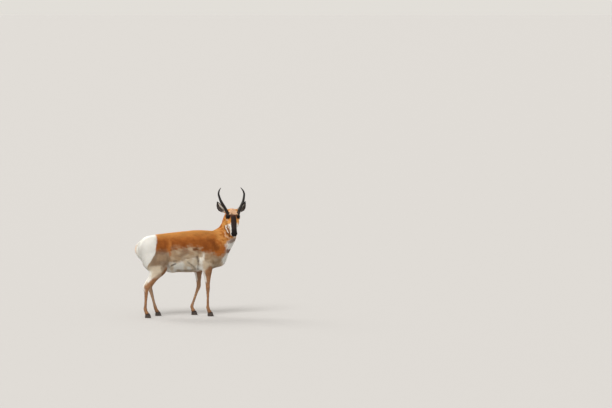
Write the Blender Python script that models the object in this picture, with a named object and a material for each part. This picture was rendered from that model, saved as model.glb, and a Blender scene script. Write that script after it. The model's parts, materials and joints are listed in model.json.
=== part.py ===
"""A life-size pronghorn buck that stands and turns its head to its right.

Metres, +Z up. The animal faces +X, its right side is towards -Y, and it stands on Z = 0.
The flesh is fused from swept limbs and muscle masses, then parted into named pieces by thin cuts.
"""

import math
import random
from typing import NamedTuple

import bmesh
import bpy
import numpy as np
from mathutils import Matrix, Vector
from mathutils.bvhtree import BVHTree

# Driving dimensions
WITHERS_HEIGHT = 0.915
BELLY_HEIGHT = 0.462
HALF_GIRTH = 0.150
RUMP_X, CHEST_X = -0.500, 0.472
EYES_AT = Vector((0.491, -0.128, 1.048))
HEAD_TURN_DEG, HEAD_PITCH_DEG = 93.0, 58.0
SKULL_HALF_WIDTH = 0.0625
EYE_RADIUS, EYE_APART = 0.0225, 0.111
HORN_REACH, HORN_LEAN = 0.313, 0.007
EAR_LENGTH = 0.140
HOOF_LENGTH, HOOF_WIDTH = 0.066, 0.0125
CORONET_HEIGHT, CORONET_SLOPE = 0.036, 0.40
GAP = 0.0003

# Fineness of the forms
BODY_VOXEL, HEAD_VOXEL = 0.0075, 0.0030
FLESH_TRIANGLES, HEAD_TRIANGLES = 3450, 2450
RING_SIDES = 28

# Places of the cuts that part the body
HEAD_CUT, HEAD_CUT_FACES = Vector((0.480, -0.070, 0.935)), Vector((0.0, -0.707, 0.707))
NECK_CUT, NECK_CUT_FACES = Vector((0.315, 0.0, 0.905)), Vector((0.739, 0.0, 0.674))
LEG_CUT_HEIGHT = 0.452
RUMP_CUT_X, SHOULDER_CUT_X = -0.215, 0.085
HOCK_CUT_HEIGHT, KNEE_CUT_HEIGHT = 0.262, 0.272

COLOURS = {
    "coat_tan": ((0.50, 0.22, 0.07, 1.0), 0.85),
    "coat_white": ((0.86, 0.83, 0.76, 1.0), 0.9),
    "coat_leg": ((0.46, 0.30, 0.18, 1.0), 0.85),
    "coat_dark": ((0.05, 0.04, 0.035, 1.0), 0.8),
    "horn": ((0.03, 0.027, 0.025, 1.0), 0.45),
    "hoof": ((0.045, 0.04, 0.035, 1.0), 0.5),
    "eye": ((0.012, 0.009, 0.008, 1.0), 0.08),
}


class Ring(NamedTuple):
    """A cross-section of a sweep: its centre, half sizes, and how much wider it is above its middle."""

    x: float
    y: float
    z: float
    depth: float
    width: float
    lean: float = 0.0


class Joints(NamedTuple):
    """The bends of one leg from the body down, each the middle of the limb there."""

    root: Vector
    upper: Vector
    middle: Vector
    fetlock: Vector
    coronet: Vector


def clear_scene():
    for obj in list(bpy.data.objects):
        bpy.data.objects.remove(obj, do_unlink=True)


def material(name):
    """The named material, made once."""
    if name in bpy.data.materials:
        return bpy.data.materials[name]
    colour, roughness = COLOURS[name]
    made = bpy.data.materials.new(name)
    made.use_nodes = True
    shader = made.node_tree.nodes["Principled BSDF"]
    shader.inputs["Base Color"].default_value = colour
    shader.inputs["Roughness"].default_value = roughness
    shader.inputs["Metallic"].default_value = 0.0
    made.diffuse_color = colour
    return made


def object_from(name, bm):
    """An object with its own mesh from a bmesh, in triangles that face outwards."""
    bmesh.ops.triangulate(bm, faces=bm.faces)
    bmesh.ops.recalc_face_normals(bm, faces=bm.faces)
    mesh = bpy.data.meshes.new(name)
    bm.to_mesh(mesh)
    bm.free()
    obj = bpy.data.objects.new(name, mesh)
    bpy.context.scene.collection.objects.link(obj)
    return obj


def remove(*objects):
    for obj in objects:
        bpy.data.objects.remove(obj, do_unlink=True)


def settle(obj):
    """Applies the object's modifiers to its mesh."""
    graph = bpy.context.evaluated_depsgraph_get()
    mesh = bpy.data.meshes.new_from_object(obj.evaluated_get(graph))
    obj.modifiers.clear()
    obj.data = mesh
    return obj


def smooth_rings(rings, steps=3):
    """Rings read from a smooth curve through the given ones, with this many steps in each gap."""
    points = np.array([tuple(ring) for ring in rings])
    padded = np.vstack([2 * points[0] - points[1], points, 2 * points[-1] - points[-2]])
    found = []
    for i in range(1, len(points)):
        before, start, end, after = padded[i - 1 : i + 3]
        for t in np.arange(steps) / steps:
            tangent_in, tangent_out = (end - before) / 2, (after - start) / 2
            found.append(
                (2 * t**3 - 3 * t**2 + 1) * start
                + (t**3 - 2 * t**2 + t) * tangent_in
                + (3 * t**2 - 2 * t**3) * end
                + (t**3 - t**2) * tangent_out
            )
    found.append(points[-1])
    return [Ring(*values) for values in found]


def sweep(rings, side=(0, 1, 0), sides=RING_SIDES, fullness=2.2, steps=3):
    """A closed mesh swept through the rings. Width runs along side, depth square to it and the path."""
    rings = smooth_rings(rings, steps)
    centres = [Vector(ring[:3]) for ring in rings]
    bm = bmesh.new()
    loops = []
    for i, ring in enumerate(rings):
        along = (centres[min(i + 1, len(rings) - 1)] - centres[max(i - 1, 0)]).normalized()
        across = Vector(side)
        across = (across - along * across.dot(along)).normalized()
        up = along.cross(across)
        loop = []
        for k in range(sides):
            c, s = math.cos(2 * math.pi * k / sides), math.sin(2 * math.pi * k / sides)
            flat = math.copysign(abs(c) ** (2 / fullness), c) * (1 + ring.lean * s)
            high = math.copysign(abs(s) ** (2 / fullness), s)
            loop.append(bm.verts.new(centres[i] + across * flat * ring.width + up * high * ring.depth))
        loops.append(loop)
    for first, second in zip(loops, loops[1:]):
        for k in range(sides):
            n = (k + 1) % sides
            bm.faces.new((first[k], first[n], second[n], second[k]))
    bm.faces.new(reversed(loops[0]))
    bm.faces.new(loops[-1])
    return bm


def ball(centre, radii, axes=None, fineness=3):
    """A closed ellipsoid. The radii run along the axes, three unit vectors that default to X, Y and Z."""
    bm = bmesh.new()
    bmesh.ops.create_icosphere(bm, subdivisions=fineness, radius=1.0)
    turn = Matrix(axes).transposed() if axes else Matrix.Identity(3)
    place = Matrix.Translation(centre) @ turn.to_4x4() @ Matrix.Diagonal((*radii, 1.0))
    bmesh.ops.transform(bm, matrix=place, verts=bm.verts)
    return bm


def fuse(name, forms, voxel, rounds):
    """One closed object from overlapping closed bmeshes, smoothed for this many rounds."""
    whole = bmesh.new()
    for form in forms:
        bmesh.ops.recalc_face_normals(form, faces=form.faces)
        mesh = bpy.data.meshes.new("form")
        form.to_mesh(mesh)
        form.free()
        whole.from_mesh(mesh)
        bpy.data.meshes.remove(mesh)
    obj = object_from(name, whole)
    remesh = obj.modifiers.new("one surface", "REMESH")
    remesh.mode = "VOXEL"
    remesh.voxel_size = voxel
    return soften(settle(obj), rounds, lambda place: True)


def soften(obj, rounds, wanted):
    """Smooths the surface where wanted says so of a place on it."""
    chosen = [vert.index for vert in obj.data.vertices if wanted(vert.co)]
    group = obj.vertex_groups.new(name="soft")
    group.add(chosen, 1.0, "REPLACE")
    smooth = obj.modifiers.new("blend", "SMOOTH")
    smooth.iterations = rounds
    smooth.factor = 0.5
    smooth.vertex_group = group.name
    settle(obj)
    obj.vertex_groups.clear()
    return obj


def thin_to(obj, triangles):
    """Merges the flattest faces until about this many triangles are left."""
    now = sum(len(face.vertices) - 2 for face in obj.data.polygons)
    decimate = obj.modifiers.new("fewer faces", "DECIMATE")
    decimate.ratio = min(1.0, triangles / now)
    decimate.use_collapse_triangulate = True
    return settle(obj)


def boolean(obj, others, operation):
    """Joins, cuts or intersects obj with the other objects, which are then removed."""
    tools = bpy.data.collections.new("tools")
    bpy.context.scene.collection.children.link(tools)
    for other in others:
        tools.objects.link(other)
    modifier = obj.modifiers.new(operation.lower(), "BOOLEAN")
    modifier.operation = operation
    modifier.operand_type = "COLLECTION"
    modifier.collection = tools
    modifier.solver = "MANIFOLD"
    settle(obj)
    remove(*others)
    bpy.data.collections.remove(tools)
    return obj


def shells_of(bm):
    """The connected groups of faces of a bmesh."""
    left, groups = set(bm.faces), []
    while left:
        stack = [left.pop()]
        group = list(stack)
        while stack:
            for edge in stack.pop().edges:
                for face in edge.link_faces:
                    if face in left:
                        left.discard(face)
                        stack.append(face)
                        group.append(face)
        groups.append(group)
    return groups


def volume_of(faces):
    """The volume that a closed group of faces holds."""
    total = 0.0
    for face in faces:
        corners = [vert.co for vert in face.verts]
        for b, c in zip(corners[1:], corners[2:]):
            total += corners[0].dot(b.cross(c)) / 6
    return total


def keep_largest(obj):
    """Leaves only the closed surface that holds most, with whole triangles and no doubled points."""
    bm = bmesh.new()
    bm.from_mesh(obj.data)
    bmesh.ops.remove_doubles(bm, verts=bm.verts, dist=1e-6)
    bmesh.ops.triangulate(bm, faces=bm.faces)
    groups = shells_of(bm)
    largest = max(groups, key=volume_of)
    scraps = [face for group in groups if group is not largest for face in group]
    bmesh.ops.delete(bm, geom=scraps, context="FACES")
    bm.to_mesh(obj.data)
    bm.free()
    return obj


def swollen(obj, name="swollen", by=GAP):
    """A copy of the object with its surface moved out by the gap, to cut a neighbour that meets it."""
    bm = bmesh.new()
    bm.from_mesh(obj.data)
    bm.normal_update()
    for vert in bm.verts:
        vert.co += vert.normal * by * vert.calc_shell_factor()
    return object_from(name, bm)


def half_space(point, facing):
    """A large block whose one face lies in the plane, on the side that facing points to."""
    bm = bmesh.new()
    bmesh.ops.create_cube(bm, size=4.0)
    turn = Vector(facing).to_track_quat("Z", "Y").to_matrix().to_4x4()
    place = Matrix.Translation(point) @ turn @ Matrix.Translation((0, 0, 2.0))
    bmesh.ops.transform(bm, matrix=place, verts=bm.verts)
    return object_from("half_space", bm)


def parted(obj, point, facing):
    """Parts the object at a plane, and returns the pieces behind and ahead, half a gap off each side."""
    facing = Vector(facing).normalized()
    ahead = object_from("ahead", bmesh_of(obj))
    boolean(obj, [half_space(point - facing * GAP / 2, facing)], "DIFFERENCE")
    boolean(ahead, [half_space(point + facing * GAP / 2, -facing)], "DIFFERENCE")
    return obj, ahead


def bmesh_of(obj):
    bm = bmesh.new()
    bm.from_mesh(obj.data)
    return bm


def separate(obj):
    """Each connected piece of the object as an object of its own."""
    bm = bmesh_of(obj)
    pieces = []
    for group in shells_of(bm):
        part = bmesh.new()
        places = {}
        for face in group:
            for vert in face.verts:
                if vert not in places:
                    places[vert] = part.verts.new(vert.co)
            part.faces.new([places[vert] for vert in face.verts])
        pieces.append(object_from("piece", part))
    bm.free()
    remove(obj)
    return pieces


def finish(obj, name, finish_name):
    """Names a finished node, gives it its material and shades its round faces smooth."""
    keep_largest(obj)
    obj.name = name
    obj.data.name = name
    obj.data.materials.clear()
    obj.data.materials.append(material(finish_name))
    obj.data.shade_smooth()
    obj.data.set_sharp_from_angle(angle=math.radians(40))
    return obj


# The head's own directions: face runs down the nose, crown out of the forehead, left to its left ear
def head_axes():
    turn, pitch = math.radians(-HEAD_TURN_DEG), math.radians(HEAD_PITCH_DEG)
    ahead = Vector((math.cos(turn), math.sin(turn), 0))
    up = Vector((0, 0, 1))
    left = up.cross(ahead)
    face = ahead * math.cos(pitch) - up * math.sin(pitch)
    crown = ahead * math.sin(pitch) + up * math.cos(pitch)
    return ahead, left, face, crown


AHEAD, LEFT, FACE, CROWN = head_axes()


def on_head(face, crown, left=0.0):
    """A point given from between the eyes by its way down the face, towards the crown and to the left."""
    return EYES_AT + FACE * face + CROWN * crown + LEFT * left


def beside_head(left, back, up):
    """A point given level with the ground: to the head's left, behind it and above the eyes."""
    return EYES_AT + LEFT * left - AHEAD * back + Vector((0, 0, up))


# The body
def torso_ring(x, top, bottom, half_width, lean):
    return Ring(x, 0.0, (top + bottom) / 2, (top - bottom) / 2, half_width, lean)


def torso():
    """The trunk from the rump to the front of the chest."""
    back, belly, girth = WITHERS_HEIGHT, BELLY_HEIGHT, HALF_GIRTH
    return sweep(
        [
            torso_ring(RUMP_X, back - 0.155, belly + 0.175, 0.045, 0.0),
            torso_ring(RUMP_X + 0.030, back - 0.108, belly + 0.130, girth - 0.076, 0.0),
            torso_ring(RUMP_X + 0.085, back - 0.066, belly + 0.098, girth - 0.044, 0.0),
            torso_ring(RUMP_X + 0.165, back - 0.042, belly + 0.070, girth - 0.030, 0.06),
            torso_ring(-0.24, back - 0.028, belly + 0.040, girth - 0.026, 0.0),
            torso_ring(-0.11, back - 0.019, belly + 0.012, girth - 0.008, -0.05),
            torso_ring(0.01, back - 0.009, belly, girth, -0.05),
            torso_ring(0.12, back - 0.001, belly + 0.002, girth - 0.008, 0.0),
            torso_ring(0.21, back - 0.002, belly + 0.010, girth - 0.022, 0.0),
            torso_ring(0.30, back - 0.016, belly + 0.024, girth - 0.038, 0.0),
            torso_ring(CHEST_X - 0.090, back - 0.060, belly + 0.046, girth - 0.052, 0.0),
            torso_ring(CHEST_X - 0.035, back - 0.125, belly + 0.090, girth - 0.080, 0.0),
            torso_ring(CHEST_X, back - 0.190, belly + 0.145, 0.040, 0.0),
        ]
    )


def neck():
    """The neck from between the shoulders up into the back of the head."""
    return sweep(
        [
            Ring(0.270, 0.0, 0.665, 0.190, 0.125, -0.05),
            Ring(0.380, 0.0, 0.775, 0.150, 0.110, -0.10),
            Ring(0.462, -0.004, 0.865, 0.112, 0.090, -0.12),
            Ring(0.478, -0.018, 0.943, 0.090, 0.075, -0.10),
            Ring(0.483, -0.045, 1.015, 0.076, 0.067, -0.05),
            Ring(0.490, -0.082, 1.072, 0.066, 0.060),
        ]
    )


def head_ring(face, top, bottom, half_width, lean=0.0):
    centre = on_head(face, (top + bottom) / 2)
    return Ring(*centre, (top - bottom) / 2, half_width, lean)


def skull_forms():
    """The head's masses: skull, cheeks, brows and muzzle, without what is cut into them."""
    wide = SKULL_HALF_WIDTH
    forms = [
        sweep(
            [
                head_ring(-0.106, 0.014, -0.052, wide - 0.0320),
                head_ring(-0.086, 0.038, -0.080, wide - 0.0125),
                head_ring(-0.058, 0.057, -0.103, wide - 0.0025),
                head_ring(-0.020, 0.066, -0.110, wide, 0.02),
                head_ring(0.024, 0.061, -0.102, wide - 0.0025, 0.04),
                head_ring(0.068, 0.048, -0.085, wide - 0.0125, 0.04),
                head_ring(0.112, 0.037, -0.069, wide - 0.0230, 0.02),
                head_ring(0.152, 0.030, -0.059, wide - 0.0285),
                head_ring(0.182, 0.023, -0.055, wide - 0.0290),
                head_ring(0.204, 0.011, -0.050, wide - 0.0330),
                head_ring(0.216, -0.003, -0.040, wide - 0.0450),
            ],
            side=LEFT,
            fullness=2.35,
        ),
        sweep(
            [
                head_ring(-0.050, -0.055, -0.114, 0.0440),
                head_ring(0.033, -0.055, -0.101, 0.0375),
                head_ring(0.110, -0.044, -0.076, 0.0260),
                head_ring(0.165, -0.038, -0.067, 0.0215),
                head_ring(0.198, -0.040, -0.066, 0.0155),
            ],
            side=LEFT,
        ),
    ]
    for hand in (-1, 1):
        masses = [
            # jaw muscle, orbit, cheekbone, horn root, ear root, nostril wing, upper lip
            (on_head(-0.006, -0.050, hand * 0.040), (0.064, 0.044, 0.026)),
            (on_head(0.005, 0.024, hand * 0.0520), (0.038, 0.031, 0.0305)),
            (on_head(0.034, -0.004, hand * 0.0400), (0.078, 0.036, 0.0280)),
            (on_head(-0.012, 0.046, hand * 0.042), (0.036, 0.022, 0.0220)),
            (on_head(-0.070, 0.008, hand * 0.048), (0.028, 0.028, 0.0190)),
            (on_head(0.194, 0.000, hand * 0.0180), (0.020, 0.0165, 0.0170)),
            (on_head(0.178, -0.029, hand * 0.020), (0.032, 0.018, 0.0180)),
        ]
        forms += [ball(centre, radii, (FACE, CROWN, LEFT)) for centre, radii in masses]
    forms.append(ball(on_head(0.190, -0.059), (0.018, 0.012, 0.0155), (FACE, CROWN, LEFT)))
    return forms


HIND_SHAPE = (
    # bone, share of the way down it, half depth, half width
    (0, 0.00, 0.118, 0.064),
    (0, 0.50, 0.126, 0.064),
    (0, 1.00, 0.094, 0.052),
    (1, 0.40, 0.062, 0.038),
    (1, 0.75, 0.037, 0.027),
    (2, 0.00, 0.030, 0.0225),
    (2, 0.25, 0.0225, 0.0185),
    (2, 0.55, 0.0175, 0.0150),
    (2, 0.85, 0.0175, 0.0155),
    (3, 0.00, 0.0215, 0.0185),
    (3, 0.50, 0.0185, 0.0175),
    (3, 1.00, 0.0230, 0.0215),
)
FORE_SHAPE = (
    (0, 0.00, 0.082, 0.044),
    (0, 0.45, 0.106, 0.056),
    (0, 1.00, 0.064, 0.044),
    (1, 0.35, 0.043, 0.034),
    (1, 0.75, 0.026, 0.0235),
    (2, 0.00, 0.0245, 0.0240),
    (2, 0.20, 0.0190, 0.0190),
    (2, 0.50, 0.0160, 0.0150),
    (2, 0.85, 0.0165, 0.0155),
    (3, 0.00, 0.0205, 0.0185),
    (3, 0.50, 0.0180, 0.0175),
    (3, 1.00, 0.0230, 0.0215),
)
LEGS = {
    "hind_right": Joints(
        Vector((-0.375, -0.082, 0.760)),
        Vector((-0.295, -0.108, 0.540)),
        Vector((-0.436, -0.100, 0.312)),
        Vector((-0.450, -0.096, 0.092)),
        Vector((-0.428, -0.096, CORONET_HEIGHT)),
    ),
    "hind_left": Joints(
        Vector((-0.345, 0.082, 0.760)),
        Vector((-0.240, 0.108, 0.550)),
        Vector((-0.356, 0.104, 0.312)),
        Vector((-0.298, 0.100, 0.092)),
        Vector((-0.274, 0.100, CORONET_HEIGHT)),
    ),
    "fore_right": Joints(
        Vector((0.215, -0.066, 0.790)),
        Vector((0.222, -0.100, 0.510)),
        Vector((0.230, -0.094, 0.300)),
        Vector((0.230, -0.090, 0.092)),
        Vector((0.252, -0.090, CORONET_HEIGHT)),
    ),
    "fore_left": Joints(
        Vector((0.200, 0.066, 0.790)),
        Vector((0.170, 0.100, 0.515)),
        Vector((0.176, 0.100, 0.305)),
        Vector((0.100, 0.098, 0.092)),
        Vector((0.120, 0.098, CORONET_HEIGHT)),
    ),
}
LEG_FOOT_DROP = 0.016


def leg_forms(name):
    """A leg from its root in the body to just below the top of its hoof, with its heel or elbow."""
    joints = LEGS[name]
    shape = HIND_SHAPE if name.startswith("hind") else FORE_SHAPE
    rings = []
    for bone, share, depth, width in shape:
        centre = joints[bone].lerp(joints[bone + 1], share)
        rings.append(Ring(*centre, depth, width))
    last = rings[-1]
    rings.append(last._replace(z=last.z - LEG_FOOT_DROP, x=last.x + 0.004))
    forms = [sweep(rings)]
    hand = math.copysign(1.0, joints.root.y)
    if name.startswith("hind"):
        heel = joints.middle + Vector((-0.026, 0, 0.026))
        calf = joints.upper.lerp(joints.middle, 0.55) + Vector((-0.040, 0, 0.004))
        below_heel = heel - Vector((-0.006, 0, 0.05))
        tendon = [Ring(*calf, 0.016, 0.014), Ring(*heel, 0.015, 0.014), Ring(*below_heel, 0.013, 0.012)]
        forms.append(sweep(tendon))
        # haunch, ham, and the stifle with its fold to the flank
        forms.append(ball(joints.root + Vector((-0.010, -hand * 0.002, -0.03)), (0.120, 0.072, 0.135)))
        forms.append(ball(joints.root + Vector((-0.004, hand * 0.006, -0.140)), (0.098, 0.060, 0.140)))
        forms.append(ball(joints.upper + Vector((0.030, -hand * 0.010, 0.000)), (0.060, 0.046, 0.085)))
    else:
        # shoulder blade, triceps and point of the elbow
        forms.append(ball(joints.root + Vector((0.030, hand * 0.030, -0.090)), (0.085, 0.048, 0.135)))
        forms.append(ball(joints.upper + Vector((-0.020, hand * 0.006, 0.070)), (0.078, 0.050, 0.070)))
        forms.append(ball(joints.upper + Vector((-0.050, -hand * 0.004, 0.018)), (0.026, 0.026, 0.034)))
    return forms


def body_forms():
    """All the flesh of the animal as overlapping closed forms."""
    forms = [torso(), neck()]
    # breastbone between the forelegs, and the sheath under the belly
    forms.append(ball((0.375, 0.0, 0.600), (0.085, 0.082, 0.090)))
    forms.append(ball((-0.130, 0.0, BELLY_HEIGHT + 0.022), (0.080, 0.030, 0.026)))
    for name in LEGS:
        forms += leg_forms(name)
    return forms


# What is cut into the head
def eye_axes(hand):
    """The directions of one eye: out of the head, towards its front corner and up."""
    out = (LEFT * hand + AHEAD * 0.36 + Vector((0, 0, 0.04))).normalized()
    corner = (FACE * 0.94 - CROWN * 0.34).normalized()
    corner = (corner - out * corner.dot(out)).normalized()
    return out, corner, out.cross(corner) * hand


def eye_centre(hand):
    return on_head(0.005, 0.022, hand * EYE_APART / 2)


def eyeball(hand, radius):
    """A ball of rings round the way that the eye looks. Its faces have the same order in each build."""
    sides, steps = 14, 9
    out, corner, up = eye_axes(hand)
    centre = eye_centre(hand)
    bm = bmesh.new()
    front, back = (bm.verts.new(centre + out * reach) for reach in (radius, -radius))
    rings = []
    for i in range(1, steps):
        tilt = math.pi * i / steps
        ring = []
        for k in range(sides):
            angle = 2 * math.pi * (k + 0.5) / sides
            aside = corner * math.cos(angle) + up * math.sin(angle)
            ring.append(bm.verts.new(centre + (out * math.cos(tilt) + aside * math.sin(tilt)) * radius))
        rings.append(ring)
    for k in range(sides):
        n = (k + 1) % sides
        bm.faces.new((front, rings[0][k], rings[0][n]))
        bm.faces.new((back, rings[-1][n], rings[-1][k]))
        for first, second in zip(rings, rings[1:]):
            bm.faces.new((first[k], second[k], second[n], first[n]))
    return object_from("eyeball", bm)


def lid_opening(hand):
    """An almond prism that opens the lids over the eyeball."""
    half_long, half_high, sides = 0.0195, 0.0135, 14
    out, corner, up = eye_axes(hand)
    bm = bmesh.new()
    loops = []
    for reach in (0.004, 0.050):
        loop = []
        for k in range(sides):
            angle = 2 * math.pi * k / sides
            height = half_high * math.sin(angle) * (1 - 0.25 * abs(math.cos(angle)))
            place = eye_centre(hand) + out * reach + corner * half_long * math.cos(angle) + up * height
            loop.append(bm.verts.new(place))
        loops.append(loop)
    for k in range(sides):
        n = (k + 1) % sides
        bm.faces.new((loops[0][k], loops[0][n], loops[1][n], loops[1][k]))
    bm.faces.new(reversed(loops[0]))
    bm.faces.new(loops[1])
    return object_from("lid_opening", bm)


def tube(points, radii, sides=6):
    """A closed tube through the points, with its own radius at each."""
    rings = [Ring(*point, radius, radius) for point, radius in zip(points, radii)]
    return object_from("tube", sweep(rings, side=LEFT, sides=sides, fullness=2.0, steps=1))


def mouth_cut(surface):
    """The line of the mouth, a groove from one corner round the front to the other."""
    points, radii = [], []
    steps = 12
    for i in range(-steps, steps + 1):
        share = i / steps
        forward = 0.142 + 0.078 * (1 - abs(share) ** 2.4)
        guess = on_head(forward, -0.0435 + 0.004 * share**2, 0.064 * math.sin(1.4 * share))
        place = surface.find_nearest(guess)[0]
        points.append(place)
        radii.append(0.0016 if abs(i) < steps else 0.0007)
    rings = [Ring(*point, radius, radius) for point, radius in zip(points, radii)]
    return object_from("mouth", sweep(rings, side=CROWN, sides=6, fullness=2.0, steps=1))


def nostril_cut(surface, hand):
    """A comma-shaped slit that leads into the nose."""
    path = [(0.194, 0.007, 0.0285), (0.203, 0.002, 0.0230), (0.209, -0.006, 0.0165), (0.2095, -0.014, 0.0145)]
    points = []
    for face, crown, left in path:
        points.append(surface.find_nearest(on_head(face, crown, hand * left))[0] - FACE * 0.001)
    return tube(points, (0.0012, 0.0034, 0.0042, 0.0016))


def head_node(whole_neck):
    """The head, with its sockets, lids, mouth and nostrils cut in."""
    fused = fuse("head", skull_forms() + [whole_neck], HEAD_VOXEL, 12)
    below, head = parted(fused, HEAD_CUT, HEAD_CUT_FACES)
    remove(below)
    thin_to(head, HEAD_TRIANGLES)
    surface = BVHTree.FromObject(head, bpy.context.evaluated_depsgraph_get())
    cuts = [mouth_cut(surface)]
    for hand in (-1, 1):
        cuts += [nostril_cut(surface, hand), eyeball(hand, EYE_RADIUS + GAP), lid_opening(hand)]
    for cut in cuts:
        boolean(head, [cut], "DIFFERENCE")
    return keep_largest(head)


# Horns and ears
def horn_forms(hand):
    """The sheath of one horn, its flat forward prong and its hooked tip."""
    path = (
        # to the side, behind, share of the reach above the eyes, half depth, half width
        (0.042, -0.030, -0.030, 0.0240, 0.0150),
        (0.051, -0.032, 0.080, 0.0265, 0.0170),
        (0.061, -0.030, 0.160, 0.0255, 0.0168),
        (0.075, -0.022, 0.278, 0.0235, 0.0155),
        (0.109, -0.006, 0.476, 0.0205, 0.0145),
        (0.123, 0.007, 0.575, 0.0155, 0.0130),
        (0.137, 0.030, 0.754, 0.0115, 0.0108),
        (0.1355, 0.040, 0.831, 0.0098, 0.0095),
        (0.126, 0.050, 0.911, 0.0075, 0.0072),
        (0.105, 0.060, 1.000, 0.0024, 0.0024),
    )
    prong = (
        (0.100, -0.004, 0.395, 0.0170, 0.0088),
        (0.110, -0.036, 0.466, 0.0135, 0.0078),
        (0.120, -0.058, 0.512, 0.0088, 0.0060),
        (0.128, -0.072, 0.550, 0.0024, 0.0024),
    )
    forms = []
    for course, sides in ((path, 12), (prong, 8)):
        rings = []
        for side, back, share, depth, width in course:
            place = beside_head(hand * side - HORN_LEAN * share, back, share * HORN_REACH)
            rings.append(Ring(*place, depth, width))
        forms.append(sweep(rings, side=LEFT, sides=sides, steps=3))
    return forms


def horn_node(hand, head):
    stem, prong = [object_from("horn", form) for form in horn_forms(hand)]
    boolean(stem, [prong], "UNION")
    return boolean(stem, [swollen(head)], "DIFFERENCE")


def ear_directions(hand):
    """One ear's directions: along it to the tip, across to its lower edge, and out of its cup."""
    up = Vector((0, 0, 1))
    along = (LEFT * hand * 0.092 - AHEAD * 0.025 + up * 0.100).normalized()
    cup = AHEAD * 0.85 + LEFT * hand * 0.35
    cup = (cup - along * cup.dot(along)).normalized()
    across = cup.cross(along)
    if across.z > 0:
        across = -across
    return along, across, cup


EAR_SHAPE = (
    # share of the length, half width, depth of the cup
    (-0.12, 0.0150, 0.008),
    (0.04, 0.0200, 0.014),
    (0.20, 0.0280, 0.018),
    (0.42, 0.0325, 0.017),
    (0.62, 0.0290, 0.013),
    (0.80, 0.0200, 0.008),
    (0.93, 0.0095, 0.003),
    (1.00, 0.0022, 0.001),
)


def ear_form(hand, wall=0.0045, arc_points=7, bow=0.022):
    """A cupped leaf: each cross-section is an arc with a thin wall, closed to a stalk at the root."""
    along, across, cup = ear_directions(hand)
    root = on_head(-0.070, 0.004, hand * 0.061)
    bm = bmesh.new()
    loops = []
    for share, half_width, hollow in EAR_SHAPE:
        bend = across * bow * math.sin(math.pi * max(share, 0)) - cup * 0.008 * share**2
        centre = root + along * EAR_LENGTH * share + bend
        thick = wall * (1.0 if share < 0.85 else 0.55)
        inner, outer = [], []
        for k in range(arc_points):
            angle = math.pi * (k / (arc_points - 1) - 0.5)
            sideways = across * half_width * math.sin(angle)
            deep = cup * (-hollow * math.cos(angle))
            shell = (across * math.sin(angle) * 0.4 - cup * math.cos(angle)).normalized() * thick
            inner.append(bm.verts.new(centre + sideways + deep * (0.15 if share < 0 else 1.0)))
            outer.append(bm.verts.new(centre + sideways + deep + shell))
        loops.append(inner + outer[::-1])
    count = len(loops[0])
    for first, second in zip(loops, loops[1:]):
        for k in range(count):
            n = (k + 1) % count
            bm.faces.new((first[k], first[n], second[n], second[k]))
    for loop in (loops[0], loops[-1]):
        for k in range(count // 2 - 1):
            bm.faces.new((loop[k], loop[k + 1], loop[count - 2 - k], loop[count - 1 - k]))
    return bm


def ear_node(hand, head):
    return boolean(object_from("ear", ear_form(hand)), [swollen(head)], "DIFFERENCE")


# Hooves
TOE_OUTLINE = (
    # share of the length from the heel, share of the width
    (0.00, 0.45),
    (0.18, 0.90),
    (0.48, 1.00),
    (0.78, 0.70),
    (1.00, 0.12),
)


def coronet_height(name, x):
    """The height of the line where the hoof begins, which falls towards the heel."""
    return CORONET_HEIGHT + CORONET_SLOPE * (x - LEGS[name].coronet.x)


def toe(name, side):
    """One of a foot's two toes, flat below and pointed ahead. side is 1 for the toe on the left."""
    coronet = LEGS[name].coronet
    heel = coronet.x - 0.024
    bm = bmesh.new()
    loops = []
    for height, reach, spread in ((0.0, 1.0, 1.0), (0.5, 0.90, 0.98), (1.0, 0.74, 0.93)):
        outer, inner = [], []
        for share, width in TOE_OUTLINE:
            x = heel + HOOF_LENGTH * share * reach
            z = height * (coronet_height(name, x) - GAP)
            cleft = 0.0006 + 0.0016 * share
            outside = cleft + 2 * HOOF_WIDTH * width * spread * 0.92
            outer.append(bm.verts.new((x, coronet.y + side * outside, z)))
            inner.append(bm.verts.new((x, coronet.y + side * cleft, z)))
        loops.append(outer + inner[::-1])
    count = len(loops[0])
    for first, second in zip(loops, loops[1:]):
        for k in range(count):
            n = (k + 1) % count
            bm.faces.new((first[k], first[n], second[n], second[k]))
    for loop in (loops[0], loops[-1]):
        for k in range(count // 2 - 1):
            bm.faces.new((loop[k], loop[k + 1], loop[count - 2 - k], loop[count - 1 - k]))
    return object_from("toe", bm)


# Tail, and the locks of long hair
TAIL = (
    Ring(-0.455, 0.0, 0.800, 0.020, 0.021),
    Ring(-0.495, 0.0, 0.787, 0.018, 0.021),
    Ring(-0.517, 0.0, 0.747, 0.014, 0.020),
    Ring(-0.520, 0.0, 0.700, 0.012, 0.017),
    Ring(-0.516, 0.0, 0.660, 0.005, 0.007),
)


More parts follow.
